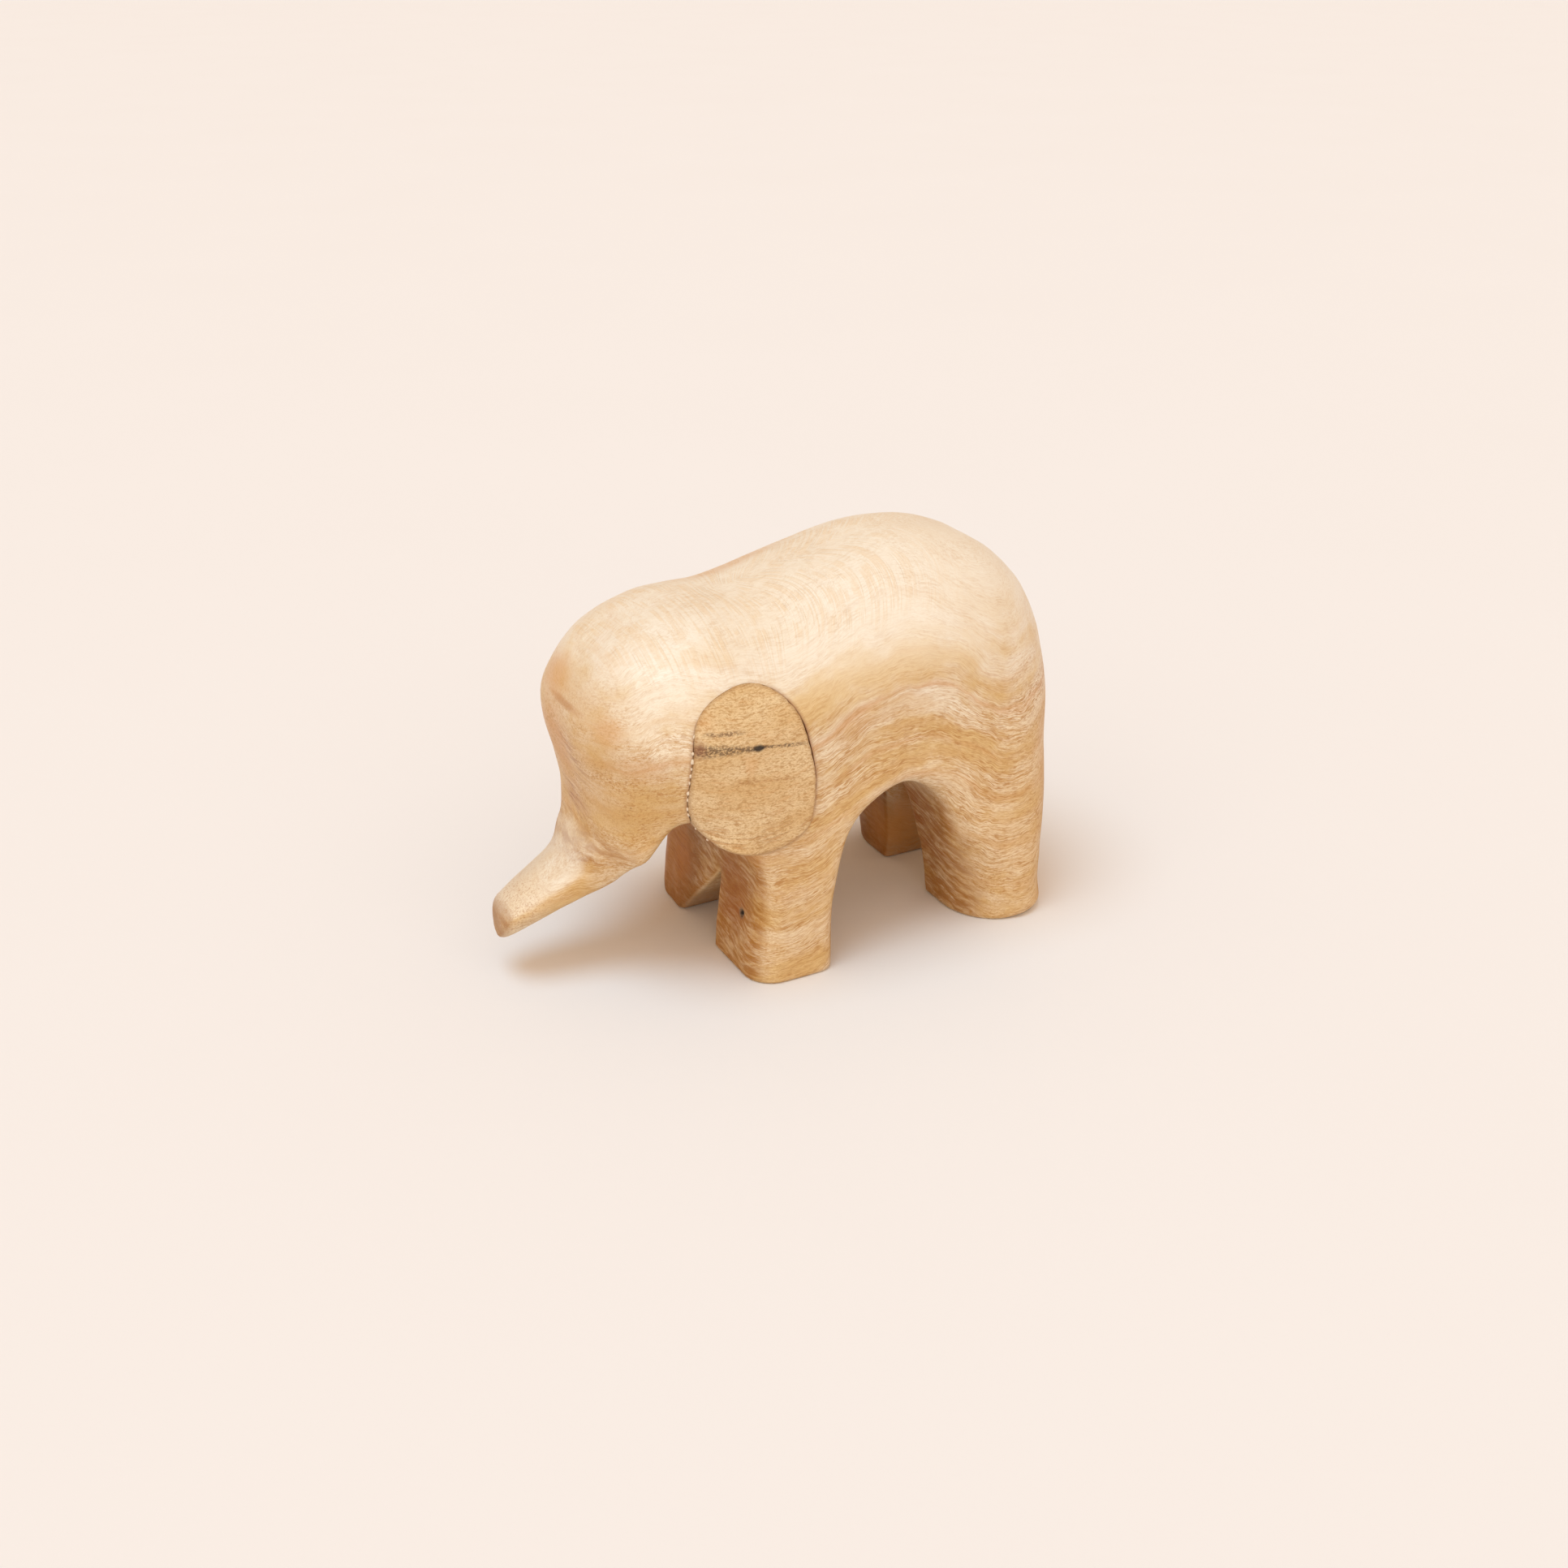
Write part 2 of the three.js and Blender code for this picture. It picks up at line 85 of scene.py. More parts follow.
TRUNK_HALF_DEPTHS = [(-6, 2.1), (0, 2.3), (6, 2.4), (12, 2.9), (15, 4.1), (18, 5.1), (25, 7.7),
                     (33, 10.5)]
TRUNK_SAG = [(-6, 0.6), (0, 0.1), (6, -0.9), (12, -2.3), (15, -2.8), (18, -2.8), (25, 0), (33, 0.5)]
TRUNK_END_Y = -27.9
TRUNK_END_RADIUS = 1.3
TRUNK_SQUARENESS = 2.7
TRUNK_BLEND = 4.0
ROOT_BLEND = 0.4
ROOT_DEPTH_IN_HEAD = 4.0
EAR_OUTLINE = [
    (-2, 41.1), (2.2, 40.8), (5.5, 37.8), (7.4, 32.5), (8.1, 27), (6.8, 21.7),
    (1.5, 19.6), (-4.5, 21.1), (-7.9, 25.5), (-8.1, 32), (-6.6, 38.4)]
EAR_BACK = 14.0
EAR_PROUD_TOP = 0.04
EAR_PROUD_BOTTOM = 0.62
LINE_STEPS = 8
EAR_LINE_STEPS = 14


def spline(points, closed, steps, centripetal):
    """Catmull-Rom curve through the points, as part.mjs draws it."""
    pts = np.array(points, float)
    count = len(pts)
    spans = count if closed else count - 1
    out = []
    for i in range(spans):
        if closed:
            p0, p1, p2, p3 = (pts[(i + k) % count] for k in (-1, 0, 1, 2))
        else:
            p0, p1, p2, p3 = (pts[min(max(i + k, 0), count - 1)] for k in (-1, 0, 1, 2))
        if centripetal:
            d1, d2, d3 = (np.linalg.norm(b - a) ** 0.5 for a, b in ((p0, p1), (p1, p2), (p2, p3)))
            m1 = ((p1 - p0) / d1 - (p2 - p0) / (d1 + d2) + (p2 - p1) / d2) * d2
            m2 = ((p2 - p1) / d2 - (p3 - p1) / (d2 + d3) + (p3 - p2) / d3) * d2
        else:
            m1 = (p2 - p0) / 2
            m2 = (p3 - p1) / 2
        t = np.linspace(0, 1, steps, endpoint=False)[:, None]
        out.append((2 * t**3 - 3 * t**2 + 1) * p1 + (t**3 - 2 * t**2 + t) * m1
                   + (3 * t**2 - 2 * t**3) * p2 + (t**3 - t**2) * m2)
    if not closed:
        out.append(pts[-1:])
    return np.vstack(out)


def table(points, t):
    """A smooth function of t through the points."""
    line = spline(points, False, LINE_STEPS, False)
    return np.interp(t, line[:, 0], line[:, 1])


def outline_distance(line, y, z):
    """Signed distance to a closed outline in the side view, negative inside."""
    nearest = np.full(y.shape, 1e18)
    inside = np.zeros(y.shape, bool)
    for a, b in zip(line, np.roll(line, -1, 0)):
        ey, ez = b - a
        wy, wz = y - a[0], z - a[1]
        t = np.clip((wy * ey + wz * ez) / (ey * ey + ez * ez + 1e-12), 0, 1)
        nearest = np.minimum(nearest, (wy - t * ey) ** 2 + (wz - t * ez) ** 2)
        if ez != 0:
            inside ^= ((a[1] > z) != (b[1] > z)) & (wy < ey * wz / ez)
    return np.where(inside, -1, 1) * np.sqrt(nearest)


def ramp(start, end, value):
    """0 at start, 1 at end, smooth between; start may be the larger."""
    t = np.clip((value - start) / (end - start), 0, 1)
    return t * t * (3 - 2 * t)


def rounded_common(a, b, radius):
    """What two fields have in common, with the edge between them rounded."""
    both = (a + radius > 0) & (b + radius > 0)
    rounded = np.hypot(np.maximum(a + radius, 0), np.maximum(b + radius, 0)) - radius
    return np.where(both, rounded, np.maximum(a, b))


def blended_join(a, b, width):
    """Two fields joined with a soft hollow of this width between them."""
    h = np.clip(0.5 + 0.5 * (b - a) / width, 0, 1)
    return b + (a - b) * h - width * h * (1 - h)


def trunk_field(x, y, z):
    """The tapering, sloping trunk, and how far along it each point is."""
    dy, dz = y - TRUNK_TIP[0], z - TRUNK_TIP[1]
    along = dy * math.cos(TRUNK_SLOPE) + dz * math.sin(TRUNK_SLOPE)
    above = dz * math.cos(TRUNK_SLOPE) - dy * math.sin(TRUNK_SLOPE)
    half_width = table(TRUNK_HALF_WIDTHS, along)
    half_depth = table(TRUNK_HALF_DEPTHS, along)
    across = np.abs(x - table(TRUNK_SHIFT_X, along)) / half_width
    up = np.abs(above - table(TRUNK_SAG, along)) / half_depth
    ratio = (across**TRUNK_SQUARENESS + up**TRUNK_SQUARENESS) ** (1 / TRUNK_SQUARENESS)
    bar = (ratio - 1) * np.minimum(half_width, half_depth)
    cut_bar = rounded_common(bar, TRUNK_END_Y - y, TRUNK_END_RADIUS)
    return np.maximum(cut_bar, along - TRUNK_LENGTH), along


def block_field(x, y, z, side_distance):
    """The sawn block with its long edges rounded, before the throat, arch and passage are cut."""
    in_head = ramp(6, -6, y) * ramp(16, 24, z)
    far_leg = ramp(0, -8, x) * ramp(16, 4, y) * ramp(26, 18, z)
    heel = ramp(32, 42, y) * ramp(9, 3, z)
    radius = table(EDGE_RADIUS_BY_HEIGHT, z) * (1 - in_head) + HEAD_EDGE_RADIUS * in_head
    radius = radius + FAR_FRONT_LEG_EXTRA_RADIUS * far_leg + HEEL_EXTRA_RADIUS * heel
    return rounded_common(side_distance, np.abs(x) - HALF_WIDTH, radius)


def passage_field(x, y, z):
    """The lengthwise gap between the left and right legs; its wall leans less towards the rear."""
    lean = 1 + (PASSAGE_LEAN_HIND - 1) * np.clip(y / HIND_LEG_FRONT, 0, 1)
    leaning_wall = (lean * z - PASSAGE_HALF_WIDTH - x) / np.hypot(1, lean)
    return np.maximum(np.maximum(leaning_wall, x - PASSAGE_HALF_WIDTH), z - PASSAGE_HEIGHT)


def hand_finish(x, y, z):
    """The slight unevenness that scraping and sanding by hand leaves, in millimetres."""
    return (0.07 * np.sin(0.33 * y + 0.21 * z + 0.4) * np.sin(0.29 * x - 0.18 * z + 1.1)
            + 0.05 * np.sin(0.62 * z - 0.35 * y + 2.0) * np.sin(0.55 * x + 0.3 * y)
            + 0.02 * np.sin(1.1 * y + 0.7 * x) * np.sin(1.2 * z - 0.5 * x + 0.7))


BLOCK = spline(BLOCK_OUTLINE, True, LINE_STEPS, True)
THROAT = spline(THROAT_LINE, False, LINE_STEPS, False)
ARCH = spline(ARCH_LINE, False, LINE_STEPS, False)


def side_distances(y, z):
    """Distances to the block, throat and arch outlines in the side view."""
    return [outline_distance(line, y, z) for line in (BLOCK, THROAT, ARCH)]


def carved_field(x, y, z, distances):
    """The whole carved block as one field, negative inside the wood."""
    block, throat, arch = distances
    trunk, along = trunk_field(x, y, z)
    into_head = ramp(TRUNK_LENGTH / 2, TRUNK_LENGTH - ROOT_DEPTH_IN_HEAD, along)
    wood = blended_join(block_field(x, y, z, block), trunk, TRUNK_BLEND * (1 - into_head) + ROOT_BLEND)
    on_leg = ramp(18, 6, z) * ramp(-8, -3, y)
    on_far_leg = ramp(-2, -9, x) * ramp(26, 18, z)
    throat_radius = (THROAT_EDGE_RADIUS + THROAT_LEG_EXTRA_RADIUS * on_leg
                     + FAR_SHIN_EXTRA_RADIUS * on_far_leg)
    on_hind_foot = ramp(28, 32, y) * ramp(18, 6, z)
    arch_radius = (ARCH_FRONT_RADIUS + ARCH_HIND_EXTRA_RADIUS * ramp(24, 31, y)
                   + HIND_FOOT_EXTRA_RADIUS * on_hind_foot)
    at_heel = ramp(36, 43, y) * ramp(6, 14, np.abs(x))
    wood = rounded_common(wood, -throat, throat_radius)
    wood = rounded_common(wood, -arch, arch_radius)
    wood = rounded_common(wood, -passage_field(x, y, z), PASSAGE_EDGE_RADIUS)
    wood = rounded_common(wood, -z, SOLE_EDGE_RADIUS + HEEL_SOLE_EXTRA_RADIUS * at_heel)
    return wood + hand_finish(x, y, z) * ramp(0, 2, z)


SLOPE_REACH = 0.05
SETTLE_LIMIT = 0.2
FLATTEST_SLOPE = 0.2


def settle(points, reach=SLOPE_REACH):
    """Moves points along the field's slope onto the carved surface."""
    x, y, z = points.T
    here = side_distances(y, z)
    value = carved_field(x, y, z, here)
    slope_x = carved_field(x + reach, y, z, here) - carved_field(x - reach, y, z, here)
    slope_y = (carved_field(x, y + reach, z, side_distances(y + reach, z))
               - carved_field(x, y - reach, z, side_distances(y - reach, z)))
    slope_z = (carved_field(x, y, z + reach, side_distances(y, z + reach))
               - carved_field(x, y, z - reach, side_distances(y, z - reach)))
    slope = np.stack([slope_x, slope_y, slope_z], 1) / (2 * reach)
    pull = np.clip(value / np.maximum((slope**2).sum(1), FLATTEST_SLOPE), -SETTLE_LIMIT, SETTLE_LIMIT)
    moved = points - slope * pull[:, None]
    moved[:, 2] = np.maximum(moved[:, 2], 0)
    return moved


def surface_net(values, origin, spacing):
    """One vertex in each grid cell that the surface crosses, one quad per crossed grid edge."""
    inside = values < 0
    shape = np.array(values.shape)
    corners = [(i, j, k) for i in (0, 1) for j in (0, 1) for k in (0, 1)]
    count = sum(inside[i:shape[0] - 1 + i, j:shape[1] - 1 + j, k:shape[2] - 1 + k].astype(int)
                for i, j, k in corners)
    crossed = (count > 0) & (count < 8)
    number = np.full(crossed.shape, -1)
    number[crossed] = np.arange(crossed.sum())
    cells = np.argwhere(crossed)
    total = np.zeros((len(cells), 3))
    hits = np.zeros(len(cells))
    for axis in range(3):
        for side in range(4):
            start = np.zeros(3, int)
            start[(axis + 1) % 3] = side & 1
            start[(axis + 2) % 3] = side >> 1
            end = start.copy()
            end[axis] = 1
            from_value = values[tuple((cells + start).T)]
            to_value = values[tuple((cells + end).T)]
            cut = (from_value < 0) != (to_value < 0)
            t = np.where(cut, from_value / np.where(cut, from_value - to_value, 1), 0)
            total[cut] += (start + t[:, None] * (end - start))[cut]
            hits[cut] += 1
    points = (cells + total / hits[:, None]) * spacing + origin
    quads = []
    for axis in range(3):
        u, v = (axis + 1) % 3, (axis + 2) % 3
        low = [slice(1, n - 1) for n in shape]
        high = list(low)
        low[axis] = slice(0, shape[axis] - 1)
        high[axis] = slice(1, shape[axis])
        starts_inside = inside[tuple(low)]
        edges = np.argwhere(starts_inside != inside[tuple(high)])
        outward = starts_inside[tuple(edges.T)]
        edges[:, u] += 1
        edges[:, v] += 1
        step_u, step_v = np.eye(3, dtype=int)[u], np.eye(3, dtype=int)[v]
        ring = np.stack([number[tuple((edges - shift).T)]
                         for shift in (step_u + step_v, step_v, 0 * step_u, step_u)], 1)
        ring[~outward] = ring[~outward][:, ::-1]
        quads.append(ring)
    return points, np.vstack(quads)


# ---- from millimetres in the body's own frame to metres in the row frame ---------------
REAR_Y = 48.05
SHIFT_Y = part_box("carved_body")[1].y / MM - REAR_Y


def to_mesh(name, points, faces):
    """A mesh from points in millimetres and faces as lists of their numbers."""
    placed = (np.asarray(points, float) + (0, SHIFT_Y, 0)) * MM
    mesh = bpy.data.meshes.new(name)
    mesh.from_pydata(placed.tolist(), [], [list(map(int, f)) for f in faces])
    mesh.validate()
    mesh.update()
    return mesh


def add_object(name, mesh):
    obj = bpy.data.objects.new(name, mesh)
    bpy.context.scene.collection.objects.link(obj)
    return obj


def smooth(mesh, angle):
    mesh.shade_smooth()
    mesh.set_sharp_from_angle(angle=math.radians(angle))


GRID_LOW = np.array([-19.4, -30.4, -0.61])
GRID_HIGH = np.array([19.4, 49.4, 54.2])
GRID_SPACING = 0.42


def body_mesh():
    xs, ys, zs = (np.arange(a, b, GRID_SPACING) for a, b in zip(GRID_LOW, GRID_HIGH))
    distances = side_distances(*np.meshgrid(ys, zs, indexing="ij"))
    x, y, z = xs[:, None, None], ys[None, :, None], zs[None, None, :]
    values = carved_field(x, y, z, [d[None] for d in distances])
    points, quads = surface_net(values, GRID_LOW, GRID_SPACING)
    return to_mesh("carved_wood", settle(points), quads)


# ---- ears: outline, pocket, inlay -------------------------------------------------------
EAR_LINE = spline(EAR_OUTLINE, True, EAR_LINE_STEPS, True)
EAR_CENTRE = EAR_LINE.mean(0)


def offset_line(line, gap):
    """The closed outline moved outwards by gap, which may differ from point to point."""
    along = np.roll(line, -1, 0) - np.roll(line, 1, 0)
    along /= np.linalg.norm(along, axis=1)[:, None]
    outward = np.stack([-along[:, 1], along[:, 0]], 1)
    return line + outward * np.broadcast_to(gap, len(line))[:, None]


def side_surface(y, z):
    """Half-width of the uncut block's side at (y, z)."""
    distance = outline_distance(BLOCK, y, z)
    inner, outer = np.full(y.shape, EAR_BACK), np.full(y.shape, HALF_WIDTH + 2)
    for _ in range(24):
        middle = (inner + outer) / 2
        inside = block_field(middle, y, z, distance) < 0
        inner, outer = np.where(inside, middle, inner), np.where(inside, outer, middle)
    return inner


def ear_proud(y, z):
    """How far the ear's face stands out from the block, most along its lower edge."""
    return EAR_PROUD_TOP + (EAR_PROUD_BOTTOM - EAR_PROUD_TOP) * ramp(40, 20, z)


# The ear's rounded rim: how far in from the outline, and how far below the face.
EAR_RIM_DROP = 0.42
EAR_RIM = [(0.05, 0.24), (0.13, 0.13), (0.25, 0.05), (0.45, 0.01), (0.8, 0)]
EAR_INNER_RINGS = np.linspace(0.93, 0.07, 14)


def ear_mesh(name, side):
    """The closed ear plate with its rim lowered, its face following the block's side."""
    angle = np.linspace(0, 2 * math.pi, len(EAR_LINE), endpoint=False)
    chatter = 0.035 * np.sin(angle * 23 * side) * np.sin(angle * 7 + 1) + 0.02 * np.sin(angle * 41)
    line = offset_line(EAR_LINE, chatter)
    rings = [(line, None), (line, EAR_RIM_DROP)]
    rings += [(offset_line(line, -inset), drop) for inset, drop in EAR_RIM]
    inner = rings[-1][0]
    rings += [(EAR_CENTRE + (inner - EAR_CENTRE) * scale, 0) for scale in EAR_INNER_RINGS]
    points = []
    for ring, drop in rings:
        y, z = ring.T
        shallow = 1 - 0.88 * ramp(34, 39.5, z)
        if drop is None:
            x = np.full(len(ring), EAR_BACK)
        else:
            x = side_surface(y, z) + ear_proud(y, z) - drop * shallow
            x = x + 0.03 * np.sin(0.9 * z + 0.4 * y) * np.sin(0.7 * y)
        points.append(np.stack([side * x, y, z], 1))
    n = len(line)
    points = np.vstack(points + [[points[0].mean(0)], [points[-1].mean(0)]])
    faces = []
    for i in range(n):
        j = (i + 1) % n
        faces.append((len(points) - 2, i, j))
        for r in range(len(rings) - 1):
            faces.append((r * n + i, (r + 1) * n + i, (r + 1) * n + j, r * n + j))
        last = (len(rings) - 1) * n
        faces.append((last + i, len(points) - 1, last + j))
    if side < 0:
        faces = [f[::-1] for f in faces]
    mesh = to_mesh(name, points, faces)
    smooth(mesh, 60)
    return mesh


def pocket_mesh(side):
    """A plug a little larger than the ear, which cuts its pocket in the body."""
    angle = np.linspace(0, 2 * math.pi, len(EAR_LINE), endpoint=False)
    gap = 0.065 + 0.02 * np.sin(3 * angle + 0.5) + 0.01 * np.sin(11 * angle)
    gap = gap * (1 - 0.8 * ramp(33, 39, EAR_LINE[:, 1]))
    line = offset_line(EAR_LINE, gap)
    n = len(line)
    floor_x, out_x = EAR_BACK - 0.2, HALF_WIDTH + 6
    points = np.vstack([np.column_stack([np.full(n, side * x), line]) for x in (floor_x, out_x)])
    faces = [(i, n + i, n + (i + 1) % n, (i + 1) % n) for i in range(n)]
    faces += [tuple(range(n)), tuple(range(2 * n - 1, n - 1, -1))]
    if side < 0:
        faces = [f[::-1] for f in faces]
    return to_mesh("pocket", points, faces)


PIN_KNOT = (12.6, 0.6, 8.3)
PIN_RADIUS = 0.54


def pin_hole_mesh():
    """The pin knot's hole on the near front leg, a small tapering plug."""
    count = 20
    angle = np.linspace(0, 2 * math.pi, count, endpoint=False)
    radius = PIN_RADIUS + 0.07 * np.sin(3 * angle)
    points = []
    for y, scale in ((-1.5, 1.0), (0.9, 1.0), (1.5, 0.4)):
        points += [(PIN_KNOT[0] + r * scale * math.cos(a), y, PIN_KNOT[2] + r * scale * math.sin(a))
                   for r, a in zip(radius, angle)]
    faces = [(k * count + i, (k + 1) * count + i, (k + 1) * count + (i + 1) % count,
              k * count + (i + 1) % count) for k in range(2) for i in range(count)]
    faces += [tuple(range(count)), tuple(range(3 * count - 1, 2 * count - 1, -1))]
    return to_mesh("pin_hole", points, faces)


def cut(obj, cutters):
    """Cuts each closed mesh out of the object."""
    for mesh in cutters:
        cutter = add_object("cutter", mesh)
        bm = bmesh.new()
        bm.from_mesh(mesh)
        bmesh.ops.recalc_face_normals(bm, faces=bm.faces)
        bm.to_mesh(mesh)
        bm.free()
        modifier = obj.modifiers.new("cut", "BOOLEAN")
        modifier.operation = "DIFFERENCE"
        modifier.solver = "MANIFOLD"
        modifier.object = cutter
        depsgraph = bpy.context.evaluated_depsgraph_get()
        result = bpy.data.meshes.new_from_object(obj.evaluated_get(depsgraph))
        obj.modifiers.clear()
        obj.data = result
        bpy.data.objects.remove(cutter)


def make_body():
    """The carved body with both ear pockets and the pin hole cut, and the seam distance on it."""
    obj = add_object("elephant_body", body_mesh())
    cut(obj, [pocket_mesh(1), pocket_mesh(-1), pin_hole_mesh()])
    smooth(obj.data, 42)
    store_seam(obj.data)
    return obj


FAR_FROM_SEAM = 20.0


def store_seam(mesh):
    """Stores each vertex's distance from the edge of the nearer ear, in millimetres."""
    co = np.empty(len(mesh.vertices) * 3)
    mesh.vertices.foreach_get("co", co)
    co = co.reshape(-1, 3) / MM - (0, SHIFT_Y, 0)
    distance = np.abs(outline_distance(EAR_LINE, co[:, 1], co[:, 2]))
    distance = np.where(np.abs(co[:, 0]) > EAR_BACK - 1, distance, FAR_FROM_SEAM)
    mesh.attributes.new("seam", "FLOAT", "POINT").data.foreach_set("value", distance)


def glue_beads(name, side, spots):
    """Small dried beads where glue was squeezed out of the seam, as one mesh."""
    bm = bmesh.new()
    for index, (place, radius, stretch) in enumerate(spots):
        k = int(place * len(EAR_LINE)) % len(EAR_LINE)
        y, z = offset_line(EAR_LINE, 0.08)[k]
        tangent = EAR_LINE[(k + 1) % len(EAR_LINE)] - EAR_LINE[k - 1]
        tangent /= np.linalg.norm(tangent)
        x = float(side_surface(np.array([y]), np.array([z]))[0]) + 0.02
        bead = bmesh.ops.create_icosphere(bm, subdivisions=2, radius=1.0)["verts"]
        for vert in bead:
            a, b, c = vert.co
            lump = 1 + 0.18 * math.sin(3 * a + index) * math.sin(4 * b + 2 * index)
            along, across, out = a * radius * stretch * lump, b * radius * lump, c * radius * 0.8
            vert.co = Vector((side * (x + out),
                              y + along * tangent[0] - across * tangent[1] + SHIFT_Y,
                              z + along * tangent[1] + across * tangent[0])) * MM
    mesh = bpy.data.meshes.new(name)
    if side < 0:
        bmesh.ops.reverse_faces(bm, faces=bm.faces)
    bm.to_mesh(mesh)
    bm.free()
    mesh.shade_smooth()
    return mesh


# ---- materials --------------------------------------------------------------------------
class Nodes:
    """Adds and links the nodes of one procedural material; lengths are millimetres."""

    def __init__(self, name):
        self.material = bpy.data.materials.new(name)
        self.material.use_nodes = True
        self.tree = self.material.node_tree
        self.shader = self.tree.nodes["Principled BSDF"]
        coord = self.new("ShaderNodeTexCoord").outputs["Object"]
        scaled = self.vector("MULTIPLY", coord, (1 / MM,) * 3)
        self.place = self.vector("SUBTRACT", scaled, (0, SHIFT_Y, 0))
        split = self.new("ShaderNodeSeparateXYZ")
        self.wire(split.inputs[0], self.place)
        self.x, self.y, self.z = split.outputs

    def new(self, kind, **settings):
        node = self.tree.nodes.new(kind)
        for key, value in settings.items():
            setattr(node, key, value)
        return node

    def wire(self, socket, value):
        if isinstance(value, bpy.types.NodeSocket):
            self.tree.links.new(value, socket)
        else:
            socket.default_value = value

    def math(self, operation, *values):
        node = self.new("ShaderNodeMath", operation=operation)
        for socket, value in zip(node.inputs, values):
            self.wire(socket, value)
        return node.outputs[0]

    def vector(self, operation, a, b):
        node = self.new("ShaderNodeVectorMath", operation=operation)
        self.wire(node.inputs[0], a)
        self.wire(node.inputs[1], b)
        return node.outputs["Value" if operation == "LENGTH" else "Vector"]

    def combine(self, x, y, z):
        node = self.new("ShaderNodeCombineXYZ")
        for socket, value in zip(node.inputs, (x, y, z)):
            self.wire(socket, value)
        return node.outputs[0]

    def scaled(self, x, y, z, factors):
        parts = [self.math("MULTIPLY", value, k) for value, k in zip((x, y, z), factors)]
        return self.combine(*parts)

    def noise(self, vector, scale, detail, rough):
        node = self.new("ShaderNodeTexNoise")
        self.wire(node.inputs["Vector"], vector)
        for key, value in (("Scale", scale), ("Detail", detail), ("Roughness", rough)):
            node.inputs[key].default_value = value
        return node.outputs["Fac"]

    def step(self, value, start, end):
        """0 before start, 1 after end, smooth between; start may be the larger."""
        node = self.new("ShaderNodeMapRange", interpolation_type="SMOOTHSTEP")
        flip = start > end
        low, high = sorted((start, end))
        for socket, v in zip(node.inputs[:5], (value, low, high, float(flip), float(not flip))):
            self.wire(socket, v)
        return node.outputs[0]

    def swing(self, value, amount):
        """A noise value as a swing of plus or minus about half the amount."""
        return self.math("MULTIPLY_ADD", value, amount, -amount / 2)

    def add(self, *values):
        total = values[0]
        for value in values[1:]:
            total = self.math("ADD", total, value)
        return total

    def times(self, *values):
        total = values[0]
        for value in values[1:]:
            total = self.math("MULTIPLY", total, value)
        return total

    def patch(self, centre, radii, soft=0.55, rough_edge=0.0):
        """1 at the centre of an ellipsoid, falling to 0 at its surface."""
        offset = self.vector("SUBTRACT", self.place, centre)
        scaled = self.vector("DIVIDE", offset, radii)
        distance = self.vector("LENGTH", scaled, (0, 0, 0))
        if rough_edge:
            distance = self.add(distance, self.swing(self.noise(self.place, 0.7, 3, 0.6), rough_edge))
        return self.step(distance, 1.0, soft)

    def less(self, mask, amount):
        """1 where the mask is 0, less by the amount where it is 1."""
        return self.math("MULTIPLY_ADD", mask, -amount, 1.0)

    def ridge(self, noise, half_width):
        """1 where a noise passes through its middle, which draws fine lines."""
        off_middle = self.math("ABSOLUTE", self.math("SUBTRACT", noise, 0.5))
        return self.step(off_middle, half_width, 0.0)

    def tint(self, colour, mask, amount, tint):
        return self.mix(self.math("MULTIPLY", mask, amount), colour, tint)

    def mix(self, factor, a, b):
        node = self.new("ShaderNodeMix", data_type="RGBA")
        self.wire(node.inputs[0], factor)
        self.wire(node.inputs[6], a)
        self.wire(node.inputs[7], b)
        return node.outputs[2]

    def curve(self, value, points, x_range, y_range):
        """A smooth curve through the points, as a function of value."""
        (x0, x1), (y0, y1) = x_range, y_range
        node = self.new("ShaderNodeFloatCurve")
        line = node.mapping.curves[0]
        spots = [((x - x0) / (x1 - x0), (y - y0) / (y1 - y0)) for x, y in points]
        line.points[0].location = spots[0]
        line.points[1].location = spots[-1]
        for spot in spots[1:-1]:
            line.points.new(*spot)
        node.mapping.update()
        self.wire(node.inputs["Value"],
                  self.math("MULTIPLY_ADD", value, 1 / (x1 - x0), -x0 / (x1 - x0)))
        return self.math("MULTIPLY_ADD", node.outputs[0], y1 - y0, y0)

    def bump(self, height, distance_mm, after=None):
        node = self.new("ShaderNodeBump")
        node.inputs["Strength"].default_value = 1.0
        node.inputs["Distance"].default_value = distance_mm * MM
        self.wire(node.inputs["Height"], height)
        if after is not None:
            self.wire(node.inputs["Normal"], after)
        return node.outputs["Normal"]


def rgb(r, g, b):
    return (r, g, b, 1.0)


# Wood colours, from the palest to the darkest; the palest cream is a painted highlight, and the low tan,
# the end-grain brown and the far-side brown also carry painted shade.
# painted highlight: a whitish cream for the tops and upward faces, standing in for the overhead light's
# sheen
PAINTED_HIGHLIGHT_CREAM = rgb(0.84, 0.82, 0.765)
PALE = rgb(0.865, 0.785, 0.62)
TAN = rgb(0.71, 0.53, 0.26)
ARC_TAN = rgb(0.74, 0.53, 0.30)
# painted shade: a darker tan for the lower body and legs
LOW_SHADE_TAN = rgb(0.70, 0.465, 0.19)
FIGURE = rgb(0.64, 0.41, 0.16)
CHIN_TAN = rgb(0.62, 0.41, 0.155)
REAR_TAN = rgb(0.62, 0.42, 0.17)
BROW_TAN = rgb(0.60, 0.365, 0.125)
LINE = rgb(0.54, 0.305, 0.085)
AMBER = rgb(0.60, 0.275, 0.07)
FLECK = rgb(0.45, 0.22, 0.055)
FOREHEAD_STREAK = rgb(0.46, 0.21, 0.055)
TRUNK_STREAK = rgb(0.44, 0.20, 0.055)
PORE = rgb(0.40, 0.185, 0.075)
TRUNK_END = rgb(0.38, 0.20, 0.085)
SEAM_STAIN = rgb(0.34, 0.17, 0.075)
